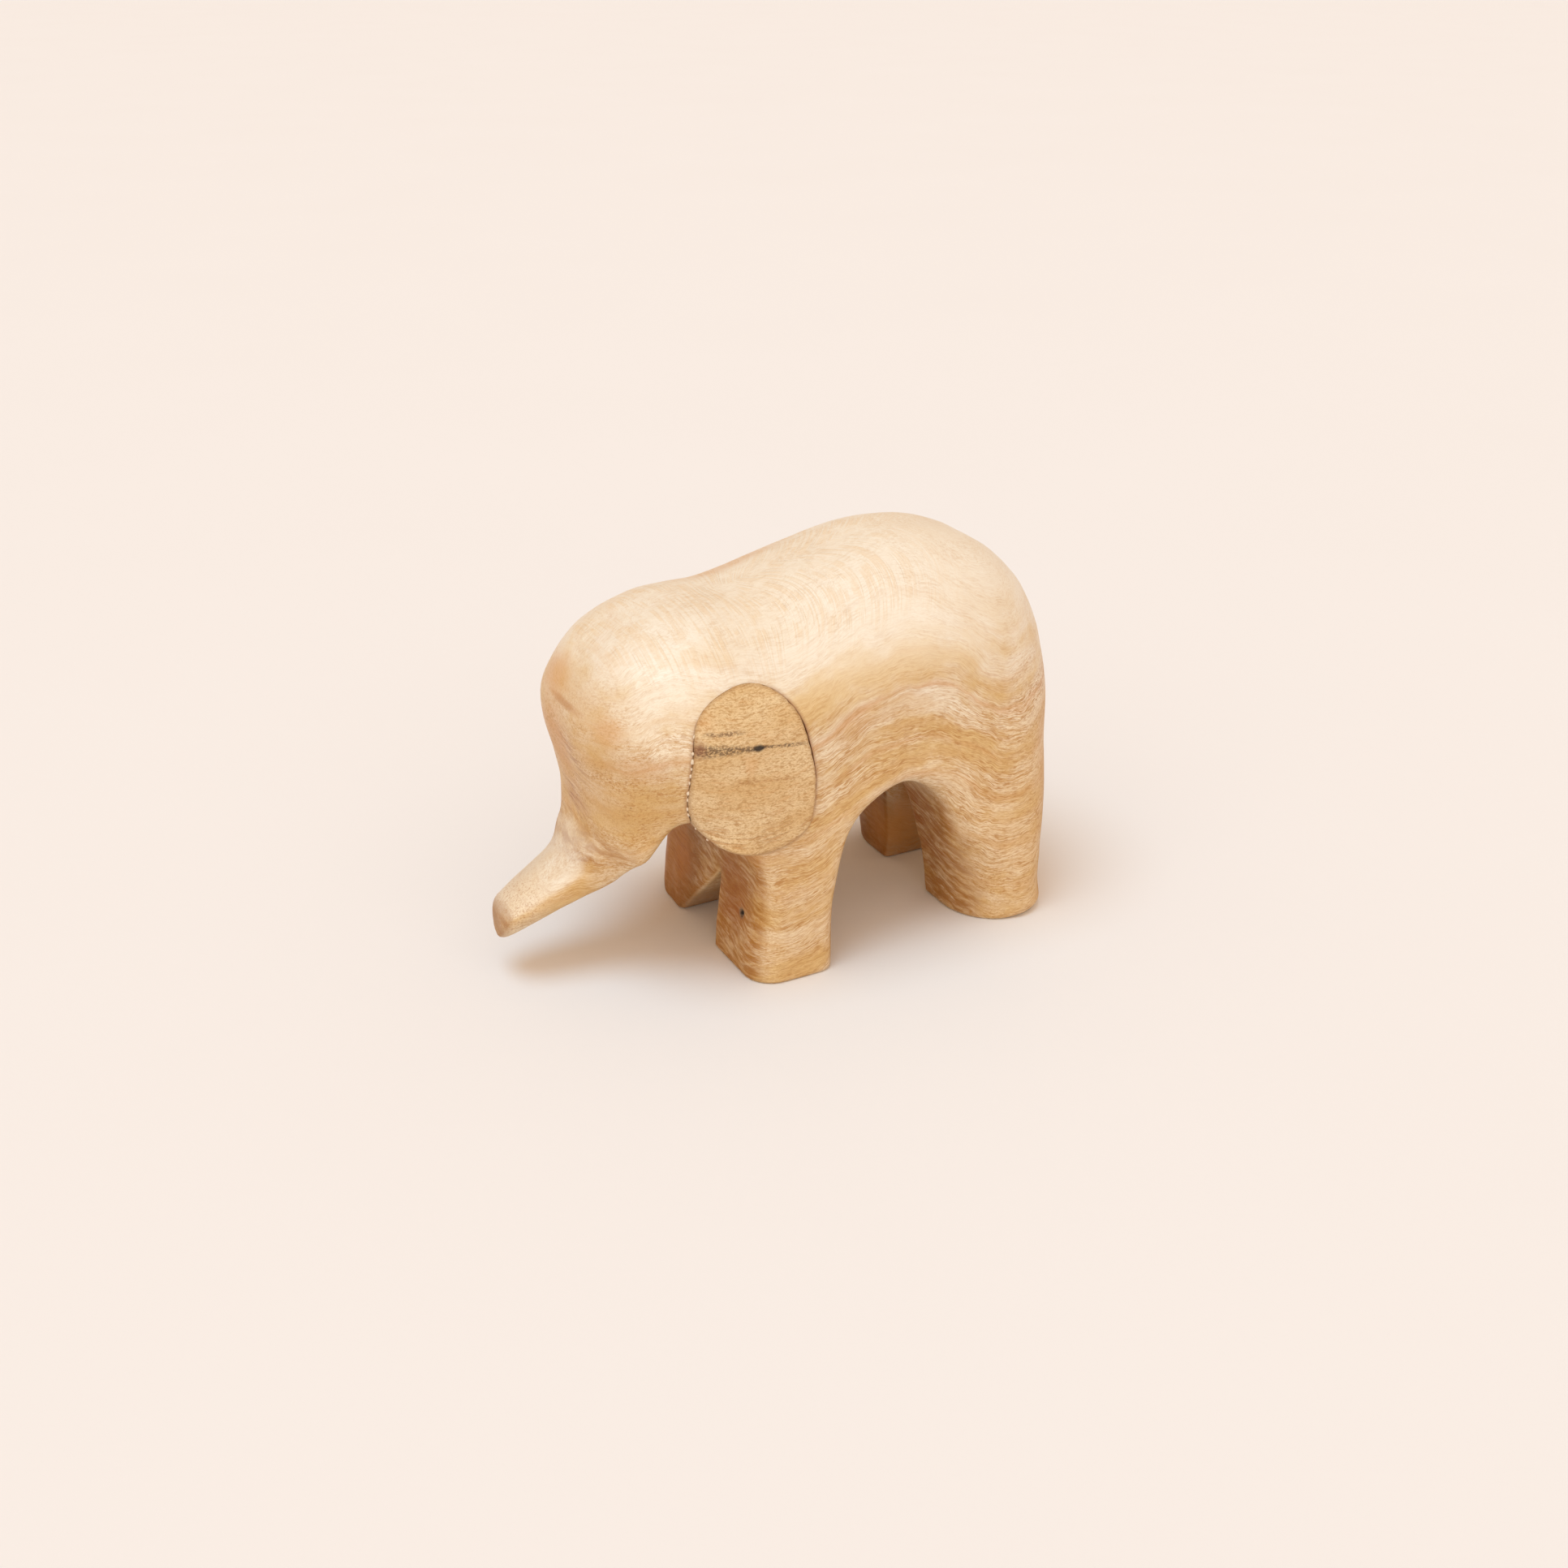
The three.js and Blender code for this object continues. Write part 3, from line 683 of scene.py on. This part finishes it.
# end-grain brown, also painted shade on the low faces across the fibres
END_GRAIN_AND_SHADE = rgb(0.33, 0.128, 0.018)
BROWN = rgb(0.32, 0.115, 0.03)
SEAM_DIRT = rgb(0.26, 0.12, 0.05)
# painted shade for the right legs' faces turned away
FAR_SIDE_PAINTED_SHADE = rgb(0.17, 0.055, 0.006)
KNOT_GREY = rgb(0.22, 0.17, 0.13)
PRICK = rgb(0.09, 0.04, 0.02)
KNOT = rgb(0.018, 0.014, 0.012)

# How far a fibre has climbed at each place along the body: the wavy figure of the wood.
FIBRE_RISE = [(-30, -3.0), (-18, -2.2), (-14, -1.2), (-8, 0.9), (-3, 0.5), (1, 0.1), (5, 0.0), (8.7, 0.75),
              (12, 2.3), (15.6, 3.8), (19, 4.8), (22.5, 5.5), (26, 4.9), (30, 2.6), (33.7, 0.3),
              (37.7, -0.9), (41, -0.6), (43.4, 0.35), (50, 2.6)]
FIBRE_TILT = 0.12
# Growth bands: height within the wood, half thickness, strength.
BANDS = [(8.5, 1.2, 0.25), (15.0, 1.5, 0.3), (22.2, 1.0, 0.5), (27.7, 0.8, 0.6), (30.4, 0.3, 0.4),
         (34.5, 1.1, 0.9), (39.2, 0.5, 0.18), (44.5, 0.6, 0.15)]

# Noise frequencies per millimetre: across the body, along the fibres, up through the layers.
BLOTCHES = (0.13, 0.05, 0.22)
FIGURES = (0.10, 0.075, 0.42)
BAND_GAPS = (0.12, 0.10, 0.8)
BUSY_AREAS = (0.16, 0.10, 0.5)
LAYERS = (0.22, 0.10, 2.4)
RINGS = (0.35, 0.2, 1.5)
HAIRS = (0.7, 0.15, 3.4)
FLECKS = (3.0, 0.75, 4.8)
FINE_FLECKS = (7.0, 1.5, 11.0)
BACK_ARCS = (0.06, 1.25, 0.06)
PORES = (4.6, 3.4, 4.2)

# Stronger colour at particular places: centre, radii, strength and colour. Most are stains in the wood;
# the entries marked below are painted shade.
STAINS_AND_PAINTED_SHADE = [
    ((10.0, 0.8, 11.0), (6.2, 4.0, 8.5), 0.45, BROWN),
    ((10.0, 0.8, 10.0), (4.8, 3.0, 6.0), 0.30, BROWN),
    # painted shadow under the near ear's overhanging lower edge
    ((15.0, -0.5, 18.6), (5.5, 5.0, 2.6), 0.45, AMBER),
    # painted shade on the right front leg's front, over a darker patch of its own
    ((-5.2, 0.5, 8.6), (3.4, 3.5, 4.6), 0.75, BROWN),
    # painted shade over the right front leg
    ((-9.0, 2.0, 9.0), (10, 8, 12), 0.45, AMBER),
    # painted shade on the right hind leg
    ((-6.0, 33.5, 8.0), (7, 6, 11), 0.55, AMBER),
    ((1.2, -17.8, 37.0), (6.5, 3.0, 0.75), 0.70, FOREHEAD_STREAK),
    ((-4.0, -17.0, 39.0), (6.0, 5.0, 3.4), 0.45, AMBER),
    ((-2.0, -17.5, 31.0), (6.5, 4.0, 7.0), 0.50, AMBER),
    ((10.2, -15.2, 36.0), (3.4, 4.0, 2.6), 0.35, AMBER),
    ((13.5, -12.0, 32.0), (4.0, 5.0, 3.0), 0.30, AMBER),
    ((-7.0, 9.0, 48.5), (4.0, 12.0, 4.0), 0.40, AMBER),
    ((0.0, -17.2, 23.0), (6.5, 3.5, 2.2), 0.45, TRUNK_STREAK),
    ((13.0, -10.0, 25.0), (9.0, 9.0, 10.0), 0.55, CHIN_TAN),
    ((14.0, 45.0, 16.0), (10.0, 10.0, 20.0), 0.35, REAR_TAN),
    ((12.0, 13.0, 34.5), (9.0, 6.5, 3.6), 0.35, AMBER),
    ((9.0, 28.0, 10.0), (6.0, 3.5, 12.0), 0.30, BROWN),
    ((14.0, 46.0, 22.0), (7.0, 5.0, 18.0), 0.30, AMBER),
]
# Places where the layers show as dark streaks: centre, radii and strength.
STREAK_ZONES = [
    ((2.5, -17.2, 30.5), (5.5, 4.0, 5.5), 0.55),
    ((0.0, -17.2, 23.2), (6.0, 4.0, 3.6), 0.80),
    ((9.0, 29.5, 12.0), (6.5, 4.5, 12.0), 0.95),
    ((13.0, 12.0, 33.5), (8.0, 7.0, 4.0), 0.35),
    ((10.0, 0.8, 10.0), (6.5, 4.0, 8.0), 0.85),
    ((-7.0, 0.5, 9.0), (7.0, 4.0, 8.0), 0.60),
]
CHEEK_PRICK = (12.2, -14.2, 26.4)


def fibre_height(n):
    """Height above the soles, followed along the wavy fibres instead of straight."""
    rise = n.curve(n.y, FIBRE_RISE, (-30, 50), (-4, 6))
    slow = n.swing(n.noise(n.place, 0.11, 1, 0.4), 2.4)
    wave = n.swing(n.noise(n.scaled(n.x, n.y, n.z, (0.25, 0.34, 0.16)), 1, 1, 0.5), 0.9)
    kink = n.swing(n.noise(n.scaled(n.x, n.y, n.z, (0.45, 0.60, 0.5)), 1, 2, 0.5), 0.38)
    straight = n.math("SUBTRACT", n.z, rise)
    tilted = n.math("MULTIPLY_ADD", n.x, FIBRE_TILT, straight)
    return n.add(tilted, slow, wave, kink)


def fibre_marks(n):
    """The noises and masks that several layers of the body's wood share, including the painted-highlight
    and painted-shade masks.
    """
    m = SimpleNamespace(grain=(n.x, n.y, fibre_height(n)))
    m.cloud = n.noise(n.place, 0.35, 3, 0.6)
    m.layered = n.noise(n.scaled(*m.grain, LAYERS), 1, 3, 0.62)
    m.busy = n.step(n.noise(n.scaled(*m.grain, BUSY_AREAS), 1, 3, 0.6), 0.34, 0.64)
    m.flecks = n.step(n.noise(n.scaled(*m.grain, FLECKS), 1, 2, 0.62), 0.50, 0.64)
    m.fine_noise = n.noise(n.scaled(*m.grain, FINE_FLECKS), 1, 2, 0.6)
    facing = n.new("ShaderNodeSeparateXYZ")
    n.wire(facing.inputs[0], n.new("ShaderNodeTexCoord").outputs["Normal"])
    m.facing_x, m.facing_y, m.facing_z = facing.outputs
    # painted highlight: the wood turns cream higher up and on faces turned upwards, as the overhead light
    # makes it look
    painted_height_highlight = n.step(n.add(n.z, n.swing(m.cloud, 6.0)), 27, 46)
    m.top_wood = n.math("MAXIMUM", painted_height_highlight, n.times(n.step(m.facing_z, 0.15, 0.80), 0.8))
    m.on_sides = n.less(n.step(n.z, 30, 43), 0.8)
    # faces across the fibres low down: end-grain colour that also stands in as painted shade
    cut_across = n.step(n.math("ABSOLUTE", m.facing_y), 0.50, 0.92)
    m.end_grain = n.times(cut_across, n.step(n.z, 24, 17))
    m.arcs = back_arcs(n, m)
    return m


def back_arcs(n, m):
    """Arcs across the back and the head, bowed forward on the sides."""
    reach = n.math("SUBTRACT", n.math("ABSOLUTE", n.x), 9.5)
    bow = n.times(reach, reach, n.step(n.y, 0, 9), -0.062)
    arc_noise = n.noise(n.scaled(n.x, n.math("SUBTRACT", n.y, bow), n.z, BACK_ARCS), 1, 2, 0.6)
    zone = n.times(n.step(m.facing_z, 0.50, 0.85), n.step(n.y, 36, 22), n.step(n.y, -22, -12))
    return n.times(n.ridge(arc_noise, 0.10), n.times(zone, n.step(m.cloud, 0.34, 0.56)))


def growth_bands(n, m):
    band = None
    for middle, half, strength in BANDS:
        distance = n.math("ABSOLUTE", n.math("SUBTRACT", m.grain[2], middle))
        line = n.math("MULTIPLY", n.step(distance, half, 0.0), strength)
        band = line if band is None else n.math("MAXIMUM", band, line)
    return n.times(band, n.step(n.noise(n.scaled(*m.grain, BAND_GAPS), 1, 2, 0.6), 0.34, 0.6))


def ground_colour(n, m):
    """Cream on top as a painted highlight, with the darker clouds and the figure fading out upwards;
    clouds of darker wood on the sides, the broad figure, and a darker tan low down as painted shade.
    """
    blotch = n.noise(n.scaled(*m.grain, BLOTCHES), 1, 3, 0.55)
    clouds = n.step(n.add(blotch, n.swing(m.cloud, 0.35)), 0.36, 0.68)
    warm = n.math("MULTIPLY", clouds, n.step(n.z, 50, 34))
    colour = n.mix(warm, n.mix(m.top_wood, PALE, PAINTED_HIGHLIGHT_CREAM), TAN)
    figure = n.noise(n.scaled(*m.grain, FIGURES), 1, 4, 0.6)
    figured = n.times(n.step(figure, 0.46, 0.66), n.less(n.step(n.z, 37, 42), 0.85))
    colour = n.tint(colour, figured, 0.38, FIGURE)
    # painted shade: the wood darkens towards the bottom, away from the painted top highlight
    painted_low_shade = n.times(n.step(n.z, 34, 12), n.less(m.top_wood, 0.9))
    return n.tint(colour, painted_low_shade, 0.27, LOW_SHADE_TAN)


def fibre_lines(n, m, colour):
    """Growth bands, streaks and hair lines that run with the fibres."""
    colour = n.tint(colour, growth_bands(n, m), 0.6, AMBER)
    colour = n.tint(colour, n.times(n.step(m.layered, 0.50, 0.72), m.on_sides), 0.40, LINE)
    hairs = n.ridge(n.noise(n.scaled(*m.grain, HAIRS), 1, 3, 0.62), 0.075)
    hair_amount = n.times(hairs, m.on_sides, n.math("MULTIPLY_ADD", m.busy, 0.65, 0.18))
    return n.mix(hair_amount, colour, LINE)


def across_faces_and_far_shade(n, m, colour):
    """Faces across the fibres drink more oil and are darker, with painted shade on the low ones; the right
    legs' faces turned away get painted shade too, so the right legs are darkest.
    """
    brow = n.times(n.step(m.facing_y, -0.45, -0.9), n.step(n.z, 20, 25), n.step(n.z, 44, 38))
    colour = n.tint(colour, brow, 0.50, BROW_TAN)
    rings = n.step(n.noise(n.scaled(*m.grain, RINGS), 1, 3, 0.65), 0.35, 0.62)
    # end-grain darkening, which on these low faces is partly painted shade
    colour = n.mix(n.times(m.end_grain, n.math("MULTIPLY_ADD", rings, 0.55, 0.32)), colour, END_GRAIN_AND_SHADE)
    # painted shade: the right legs' low faces turned away are darkened
    painted_far_shade = n.times(n.step(n.x, 2, -3), n.step(n.z, 22, 15), n.step(m.facing_x, -0.75, -0.25))
    return n.tint(colour, n.times(painted_far_shade, n.step(n.z, 20, 12)), 0.62, FAR_SIDE_PAINTED_SHADE)


def stains_and_painted_shade(n, m, colour):
    # stains in the wood, with painted shade on the right legs and under the near ear
    for centre, radii, strength, tint in STAINS_AND_PAINTED_SHADE:
        colour = n.tint(colour, n.patch(centre, radii, 0.25, 0.5), strength, tint)
    dark_layers = n.step(m.layered, 0.47, 0.62)
    for centre, radii, strength in STREAK_ZONES:
        colour = n.tint(colour, n.times(n.patch(centre, radii, 0.3), dark_layers), strength, BROWN)
    return colour


def trunk_colour(n, m, colour):
    """Painted highlight along the trunk's upward-facing top, paler wood towards the tip, with open pores
    where its tip is cut across the fibres.
    """
    # painted highlight: cream on the trunk's faces turned upwards
    painted_trunk_highlight = n.times(n.step(n.y, -15, -19), n.step(n.z, 26, 22), n.step(m.facing_z, 0.1, 0.6))
    colour = n.tint(colour, painted_trunk_highlight, 0.55, PAINTED_HIGHLIGHT_CREAM)
    near_tip = n.step(n.add(n.y, n.swing(m.cloud, 5.0)), -21.0, -25.5)
    colour = n.tint(colour, near_tip, 0.25, PALE)
    pores = n.noise(n.scaled(n.x, n.y, n.z, PORES), 1, 3, 0.7)
    colour = n.tint(colour, n.times(n.step(pores, 0.53, 0.63), near_tip), 0.55, PORE)
    return n.tint(colour, n.step(n.y, -26.6, -27.5), 0.40, TRUNK_END)


def fibre_flecks(n, m, colour):
    """Short dashes over everything, weaker on end grain and on the trunk."""
    on_trunk = n.times(n.step(n.y, -14, -18), n.step(n.z, 25, 21))
    weaker = n.less(n.math("MAXIMUM", m.end_grain, on_trunk), 0.65)
    amount = n.times(m.flecks, m.on_sides, weaker, n.math("MULTIPLY_ADD", m.busy, 0.50, 0.30))
    colour = n.mix(amount, colour, FLECK)
    fine = n.step(m.fine_noise, 0.43, 0.64)
    return n.tint(colour, n.times(fine, m.on_sides, weaker), 0.36, FLECK)


def seam_marks(n, m, colour):
    """Dirt and glue drawn into the wood beside the ears, with the left ear's top kept clean."""
    seam = n.new("ShaderNodeAttribute", attribute_name="seam").outputs["Fac"]
    clean_top = n.less(n.times(n.step(n.z, 35, 39.5), n.step(n.y, 4.5, 2.0)), 0.9)
    stain = n.times(n.step(seam, 0.60, 0.12), n.math("MULTIPLY_ADD", m.cloud, 0.9, 0.05), clean_top)
    colour = n.mix(stain, colour, SEAM_STAIN)
    dirt = n.times(n.step(seam, 0.20, 0.08), n.math("MULTIPLY_ADD", m.cloud, 0.9, 0.3), clean_top)
    return n.mix(dirt, colour, SEAM_DIRT)


def knot_and_prick(n, colour):
    """The pin knot on the near front leg, and a pin prick on the cheek."""
    colour = n.tint(colour, n.patch(PIN_KNOT, (0.95, 0.95, 0.95), 0.55, 0.3), 0.55, KNOT_GREY)
    below = (PIN_KNOT[0], PIN_KNOT[1] + 0.5, PIN_KNOT[2])
    colour = n.mix(n.patch(below, (0.62, 1.2, 0.62), 0.75), colour, KNOT)
    return n.mix(n.patch(CHEEK_PRICK, (0.24, 0.4, 0.24), 0.4), colour, PRICK)


def body_wood():
    n = Nodes("carved_wood")
    m = fibre_marks(n)
    colour = fibre_lines(n, m, ground_colour(n, m))
    colour = n.tint(colour, m.arcs, 0.36, ARC_TAN)
    for layer in (across_faces_and_far_shade, stains_and_painted_shade, trunk_colour, fibre_flecks, seam_marks):
        colour = layer(n, m, colour)
    n.wire(n.shader.inputs["Base Color"], knot_and_prick(n, colour))

    sheen = n.add(0.40, n.swing(m.cloud, 0.14), n.times(m.flecks, 0.10), n.times(m.arcs, 0.14))
    n.wire(n.shader.inputs["Roughness"], sheen)
    n.shader.inputs["IOR"].default_value = 1.5
    n.wire(n.shader.inputs["Specular IOR Level"], n.math("MULTIPLY_ADD", m.end_grain, -0.42, 0.48))
    n.wire(n.shader.inputs["Coat Weight"], n.math("MULTIPLY_ADD", m.top_wood, 0.75, 0.05))
    n.shader.inputs["Coat Roughness"].default_value = 0.50

    relief = n.math("SUBTRACT", n.math("MULTIPLY", m.fine_noise, 0.4), n.math("MULTIPLY", m.flecks, 0.5))
    normal = n.bump(n.math("MULTIPLY", relief, n.less(m.top_wood, 0.7)), 0.012)
    normal = n.bump(m.arcs, 0.03, after=normal)
    normal = n.bump(m.cloud, 0.12, after=normal)
    n.wire(n.shader.inputs["Normal"], normal)
    return n.material


EAR_PALE = rgb(0.79, 0.64, 0.41)
EAR_TAN = rgb(0.69, 0.50, 0.265)
EAR_RIPPLE = rgb(0.40, 0.20, 0.07)
EAR_FLECK = rgb(0.42, 0.22, 0.065)
EAR_FINE_FLECK = rgb(0.40, 0.22, 0.07)
EAR_ROOT = rgb(0.26, 0.11, 0.06)
EAR_EDGE = rgb(0.30, 0.15, 0.06)
MAIN_STREAK = rgb(0.11, 0.065, 0.035)
UPPER_STREAK = rgb(0.17, 0.09, 0.04)
LOWER_STREAK = rgb(0.36, 0.17, 0.06)
# Noise frequencies per millimetre, as for the body.
EAR_BLOTCHES = (0.3, 0.09, 0.3)
EAR_FLECKS = (4.0, 1.3, 5.0)
EAR_FINE_FLECKS = (8.0, 3.2, 9.5)
EAR_RIPPLES = (0.2, 0.3, 2.1)
# Amber spots on the ears: centre, radii and strength.
EAR_SPOTS = [
    ((17.5, -6.3, 38.3), (3, 2.2, 2.6), 0.22),
    ((18.3, -0.8, 31.8), (3, 1.3, 1.9), 0.25),
    ((-18.0, 2.4, 26.5), (3, 3.0, 2.0), 0.4),
]


def ear_ripples(n, kink):
    """Ripples that follow the ear's lower edge, as a noise."""
    from_middle = n.add(n.y, 1.0)
    bow = n.times(from_middle, from_middle, 0.028)
    height = n.math("SUBTRACT", n.add(n.z, n.math("MULTIPLY", kink, 0.5)), bow)
    return n.noise(n.scaled(n.x, n.y, height, EAR_RIPPLES), 1, 2, 0.6)


def mineral_streaks(n, colour):
    """Three dark mineral streaks; the knot and the two stronger ones are on the left ear only."""
    left = n.step(n.x, -1, 1)
    jitter = n.swing(n.noise(n.scaled(n.x, n.y, n.z, (1, 1.1, 1.4)), 1, 2, 0.6), 0.5)
    grit = n.step(n.noise(n.scaled(n.x, n.y, n.z, (3, 3.2, 5)), 1, 2, 0.7), 0.33, 0.58)

    def off_line(slope, height):
        tilted = n.math("MULTIPLY_ADD", n.y, slope, n.z)
        return n.math("ABSOLUTE", n.add(tilted, -height, jitter))

    width = n.math("MULTIPLY_ADD", n.step(n.y, 1.5, -6.0), 0.75, 0.32)
    main = n.times(n.step(n.math("DIVIDE", off_line(0.095, 33.95), width), 1.0, 0.25), grit,
                   n.step(n.y, 8.2, 4.0), left)
    colour = n.tint(colour, main, 0.85, MAIN_STREAK)
    upper = n.times(n.step(off_line(0.05, 36.1), 0.42, 0.05), grit, n.step(n.y, -0.6, -2.8),
                    n.step(n.y, -7.0, -5.4), left)
    colour = n.tint(colour, upper, 0.80, UPPER_STREAK)
    lower = n.times(n.step(off_line(0.12, 29.7), 0.4, 0.0), grit, n.step(n.y, -4.2, -2),
                    n.step(n.y, 6.0, 4.5))
    colour = n.tint(colour, lower, 0.38, LOWER_STREAK)
    colour = n.tint(colour, n.patch((18.5, 0.25, 33.9), (1.6, 1.15, 0.62), 0.40, 0.9), 0.93, KNOT)
    return n.tint(colour, n.patch((17.2, -7.1, 34.9), (3.0, 1.3, 1.5), 0.2, 0.8), 0.6, EAR_ROOT)


def ear_wood():
    n = Nodes("ear_wood")
    drift = n.swing(n.noise(n.place, 0.16, 1, 0.4), 1.6)
    kink = n.swing(n.noise(n.scaled(n.x, n.y, n.z, (0.6, 0.9, 0.6)), 1, 2, 0.5), 0.5)
    grain = (n.x, n.y, n.add(n.math("MULTIPLY_ADD", n.y, 0.06, n.z), drift, kink))
    blotch = n.step(n.noise(n.scaled(*grain, EAR_BLOTCHES), 1, 3, 0.6), 0.35, 0.68)
    cloud = n.noise(n.place, 0.6, 3, 0.6)
    flecks = n.step(n.noise(n.scaled(*grain, EAR_FLECKS), 1, 2, 0.65), 0.47, 0.66)
    fine_noise = n.noise(n.scaled(*grain, EAR_FINE_FLECKS), 1, 2, 0.65)
    ripple_noise = ear_ripples(n, kink)
    ripples = n.times(n.step(ripple_noise, 0.48, 0.64), n.step(n.z, 27.5, 22.0))

    colour = n.mix(blotch, EAR_PALE, EAR_TAN)
    colour = n.tint(colour, ripples, 0.42, EAR_RIPPLE)
    colour = n.tint(colour, n.step(ripple_noise, 0.52, 0.72), 0.25, AMBER)
    colour = n.tint(colour, flecks, 0.62, EAR_FLECK)
    colour = n.tint(colour, n.step(fine_noise, 0.42, 0.7), 0.50, EAR_FINE_FLECK)
    for centre, radii, strength in EAR_SPOTS:
        colour = n.tint(colour, n.patch(centre, radii, 0.2, 0.5), strength, AMBER)
    colour = mineral_streaks(n, colour)
    rim = n.new("ShaderNodeAttribute", attribute_name="seam").outputs["Fac"]
    colour = n.mix(n.times(n.step(rim, 0.55, 0.0), n.math("MULTIPLY", cloud, 0.8)), colour, EAR_EDGE)
    n.wire(n.shader.inputs["Base Color"], colour)

    n.wire(n.shader.inputs["Roughness"], n.add(0.52, n.swing(cloud, 0.12), n.times(flecks, 0.08)))
    n.shader.inputs["IOR"].default_value = 1.45
    n.shader.inputs["Specular IOR Level"].default_value = 0.4
    relief = n.math("SUBTRACT", n.math("MULTIPLY", fine_noise, 0.5), n.math("MULTIPLY", flecks, 0.5))
    normal = n.bump(ripples, -0.05, after=n.bump(relief, 0.022))
    n.wire(n.shader.inputs["Normal"], normal)
    return n.material


GLUE_PALE = rgb(0.86, 0.79, 0.68)
GLUE_DULL = rgb(0.68, 0.55, 0.40)
GLUE_DIRT = rgb(0.32, 0.19, 0.10)
FLOOR_LIGHT = rgb(0.835, 0.87, 0.96)
FLOOR_SHADE = rgb(0.825, 0.855, 0.94)


def dried_glue():
    n = Nodes("dried_glue")
    cloud = n.noise(n.place, 1.6, 3, 0.6)
    grit = n.step(n.noise(n.place, 5.0, 2, 0.6), 0.55, 0.7)
    colour = n.tint(n.mix(cloud, GLUE_PALE, GLUE_DULL), grit, 0.4, GLUE_DIRT)
    n.wire(n.shader.inputs["Base Color"], colour)
    n.wire(n.shader.inputs["Roughness"], n.math("MULTIPLY_ADD", cloud, 0.3, 0.25))
    n.wire(n.shader.inputs["Normal"], n.bump(cloud, 0.04))
    n.shader.inputs["IOR"].default_value = 1.5
    return n.material


def floor_material():
    n = Nodes("pale_floor")
    cloud = n.noise(n.place, 0.012, 3, 0.5)
    n.wire(n.shader.inputs["Base Color"], n.mix(cloud, FLOOR_LIGHT, FLOOR_SHADE))
    n.shader.inputs["Roughness"].default_value = 0.8
    n.shader.inputs["Specular IOR Level"].default_value = 0.2
    return n.material


# ---- pieces -----------------------------------------------------------------------------
body_finish, ear_finish, glue_finish = body_wood(), ear_wood(), dried_glue()

body = make_body()
body.data.materials.clear()
body.data.materials.append(body_finish)
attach(body, "root")
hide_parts("carved_body")

# Beads of glue: place round the outline (0 to 1), radius and stretch along the seam.
BEADS = {
    1: [(0.735, 0.13, 2.0), (0.748, 0.17, 1.6), (0.768, 0.11, 2.6), (0.785, 0.20, 1.5), (0.800, 0.12, 2.2),
        (0.812, 0.16, 1.8), (0.826, 0.13, 1.4), (0.842, 0.22, 1.7), (0.856, 0.16, 1.5), (0.880, 0.11, 2.4),
        (0.700, 0.10, 1.8), (0.665, 0.13, 1.5)],
    -1: [(0.20, 0.10, 1.8), (0.34, 0.12, 1.5), (0.47, 0.09, 2.0), (0.71, 0.10, 1.7), (0.76, 0.13, 1.5),
         (0.80, 0.08, 2.4), (0.86, 0.11, 1.6)],
}
for side, label in ((1, "left"), (-1, "right")):
    ear = add_object(f"{label}_ear_inlay", ear_mesh(f"{label}_ear_inlay", side))
    store_seam(ear.data)
    ear.data.materials.append(ear_finish)
    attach(ear, "root")
    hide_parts(f"{label}_ear")
    beads = add_object(f"{label}_ear_glue_beads",
                       glue_beads(f"{label}_ear_glue_beads", side, BEADS[side]))
    beads.data.materials.append(glue_finish)
    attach(beads, "root")
    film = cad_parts[f"{label}_ear_glue_film"]
    film.material_slots[0].material = glue_finish

# ---- floor, light and camera ---------------------------------------------------------------
FLOOR_HALF_SIZE = 6.0
WORLD_COLOUR = rgb(1.0, 0.66, 0.39)
WORLD_STRENGTH = 0.77

floor_mesh = bpy.data.meshes.new("floor")
bm = bmesh.new()
bmesh.ops.create_grid(bm, x_segments=8, y_segments=8, size=FLOOR_HALF_SIZE)
bm.to_mesh(floor_mesh)
bm.free()
floor = add_object("floor", floor_mesh)
floor.data.materials.append(floor_material())

world = bpy.data.worlds.new("studio")
bpy.context.scene.world = world
world.use_nodes = True
background = world.node_tree.nodes["Background"]
background.inputs["Color"].default_value = WORLD_COLOUR
background.inputs["Strength"].default_value = WORLD_STRENGTH


def add_sun(name, towards_light, energy, spread, colour):
    """A soft sun: its spread is in degrees, and wide is soft."""
    lamp = bpy.data.lights.new(name, "SUN")
    lamp.energy = energy
    lamp.angle = math.radians(spread)
    lamp.color = colour
    lamp_object = bpy.data.objects.new(name, lamp)
    lamp_object.rotation_mode = "QUATERNION"
    lamp_object.rotation_quaternion = Vector(towards_light).to_track_quat("Z", "Y")
    bpy.context.scene.collection.objects.link(lamp_object)


add_sun("overhead", (0.05, -0.30, 1.0), 1.20, 34, (0.56, 0.85, 1.0))
add_sun("near_side_fill", (0.80, -0.42, 0.62), 0.98, 100, (1.0, 0.95, 0.86))

CAMERA_AZIMUTH = math.radians(62.36)
CAMERA_ELEVATION = math.radians(25.44)
CAMERA_DISTANCE = 288.6 * MM
CAMERA_LENS = 41.92
AIM = Vector((-34.52, 31.38 + SHIFT_Y, 0)) * MM
camera_data = bpy.data.cameras.new("camera")
camera_data.sensor_width = 36
camera_data.lens = CAMERA_LENS
camera_data.clip_start = 0.01
camera = bpy.data.objects.new("camera", camera_data)
back = Vector((math.sin(CAMERA_AZIMUTH) * math.cos(CAMERA_ELEVATION),
               -math.cos(CAMERA_AZIMUTH) * math.cos(CAMERA_ELEVATION), math.sin(CAMERA_ELEVATION)))
camera.location = AIM + back * CAMERA_DISTANCE
camera.rotation_mode = "QUATERNION"
camera.rotation_quaternion = back.to_track_quat("Z", "Y")
bpy.context.scene.collection.objects.link(camera)
bpy.context.scene.camera = camera
bpy.context.scene.view_settings.view_transform = "Standard"
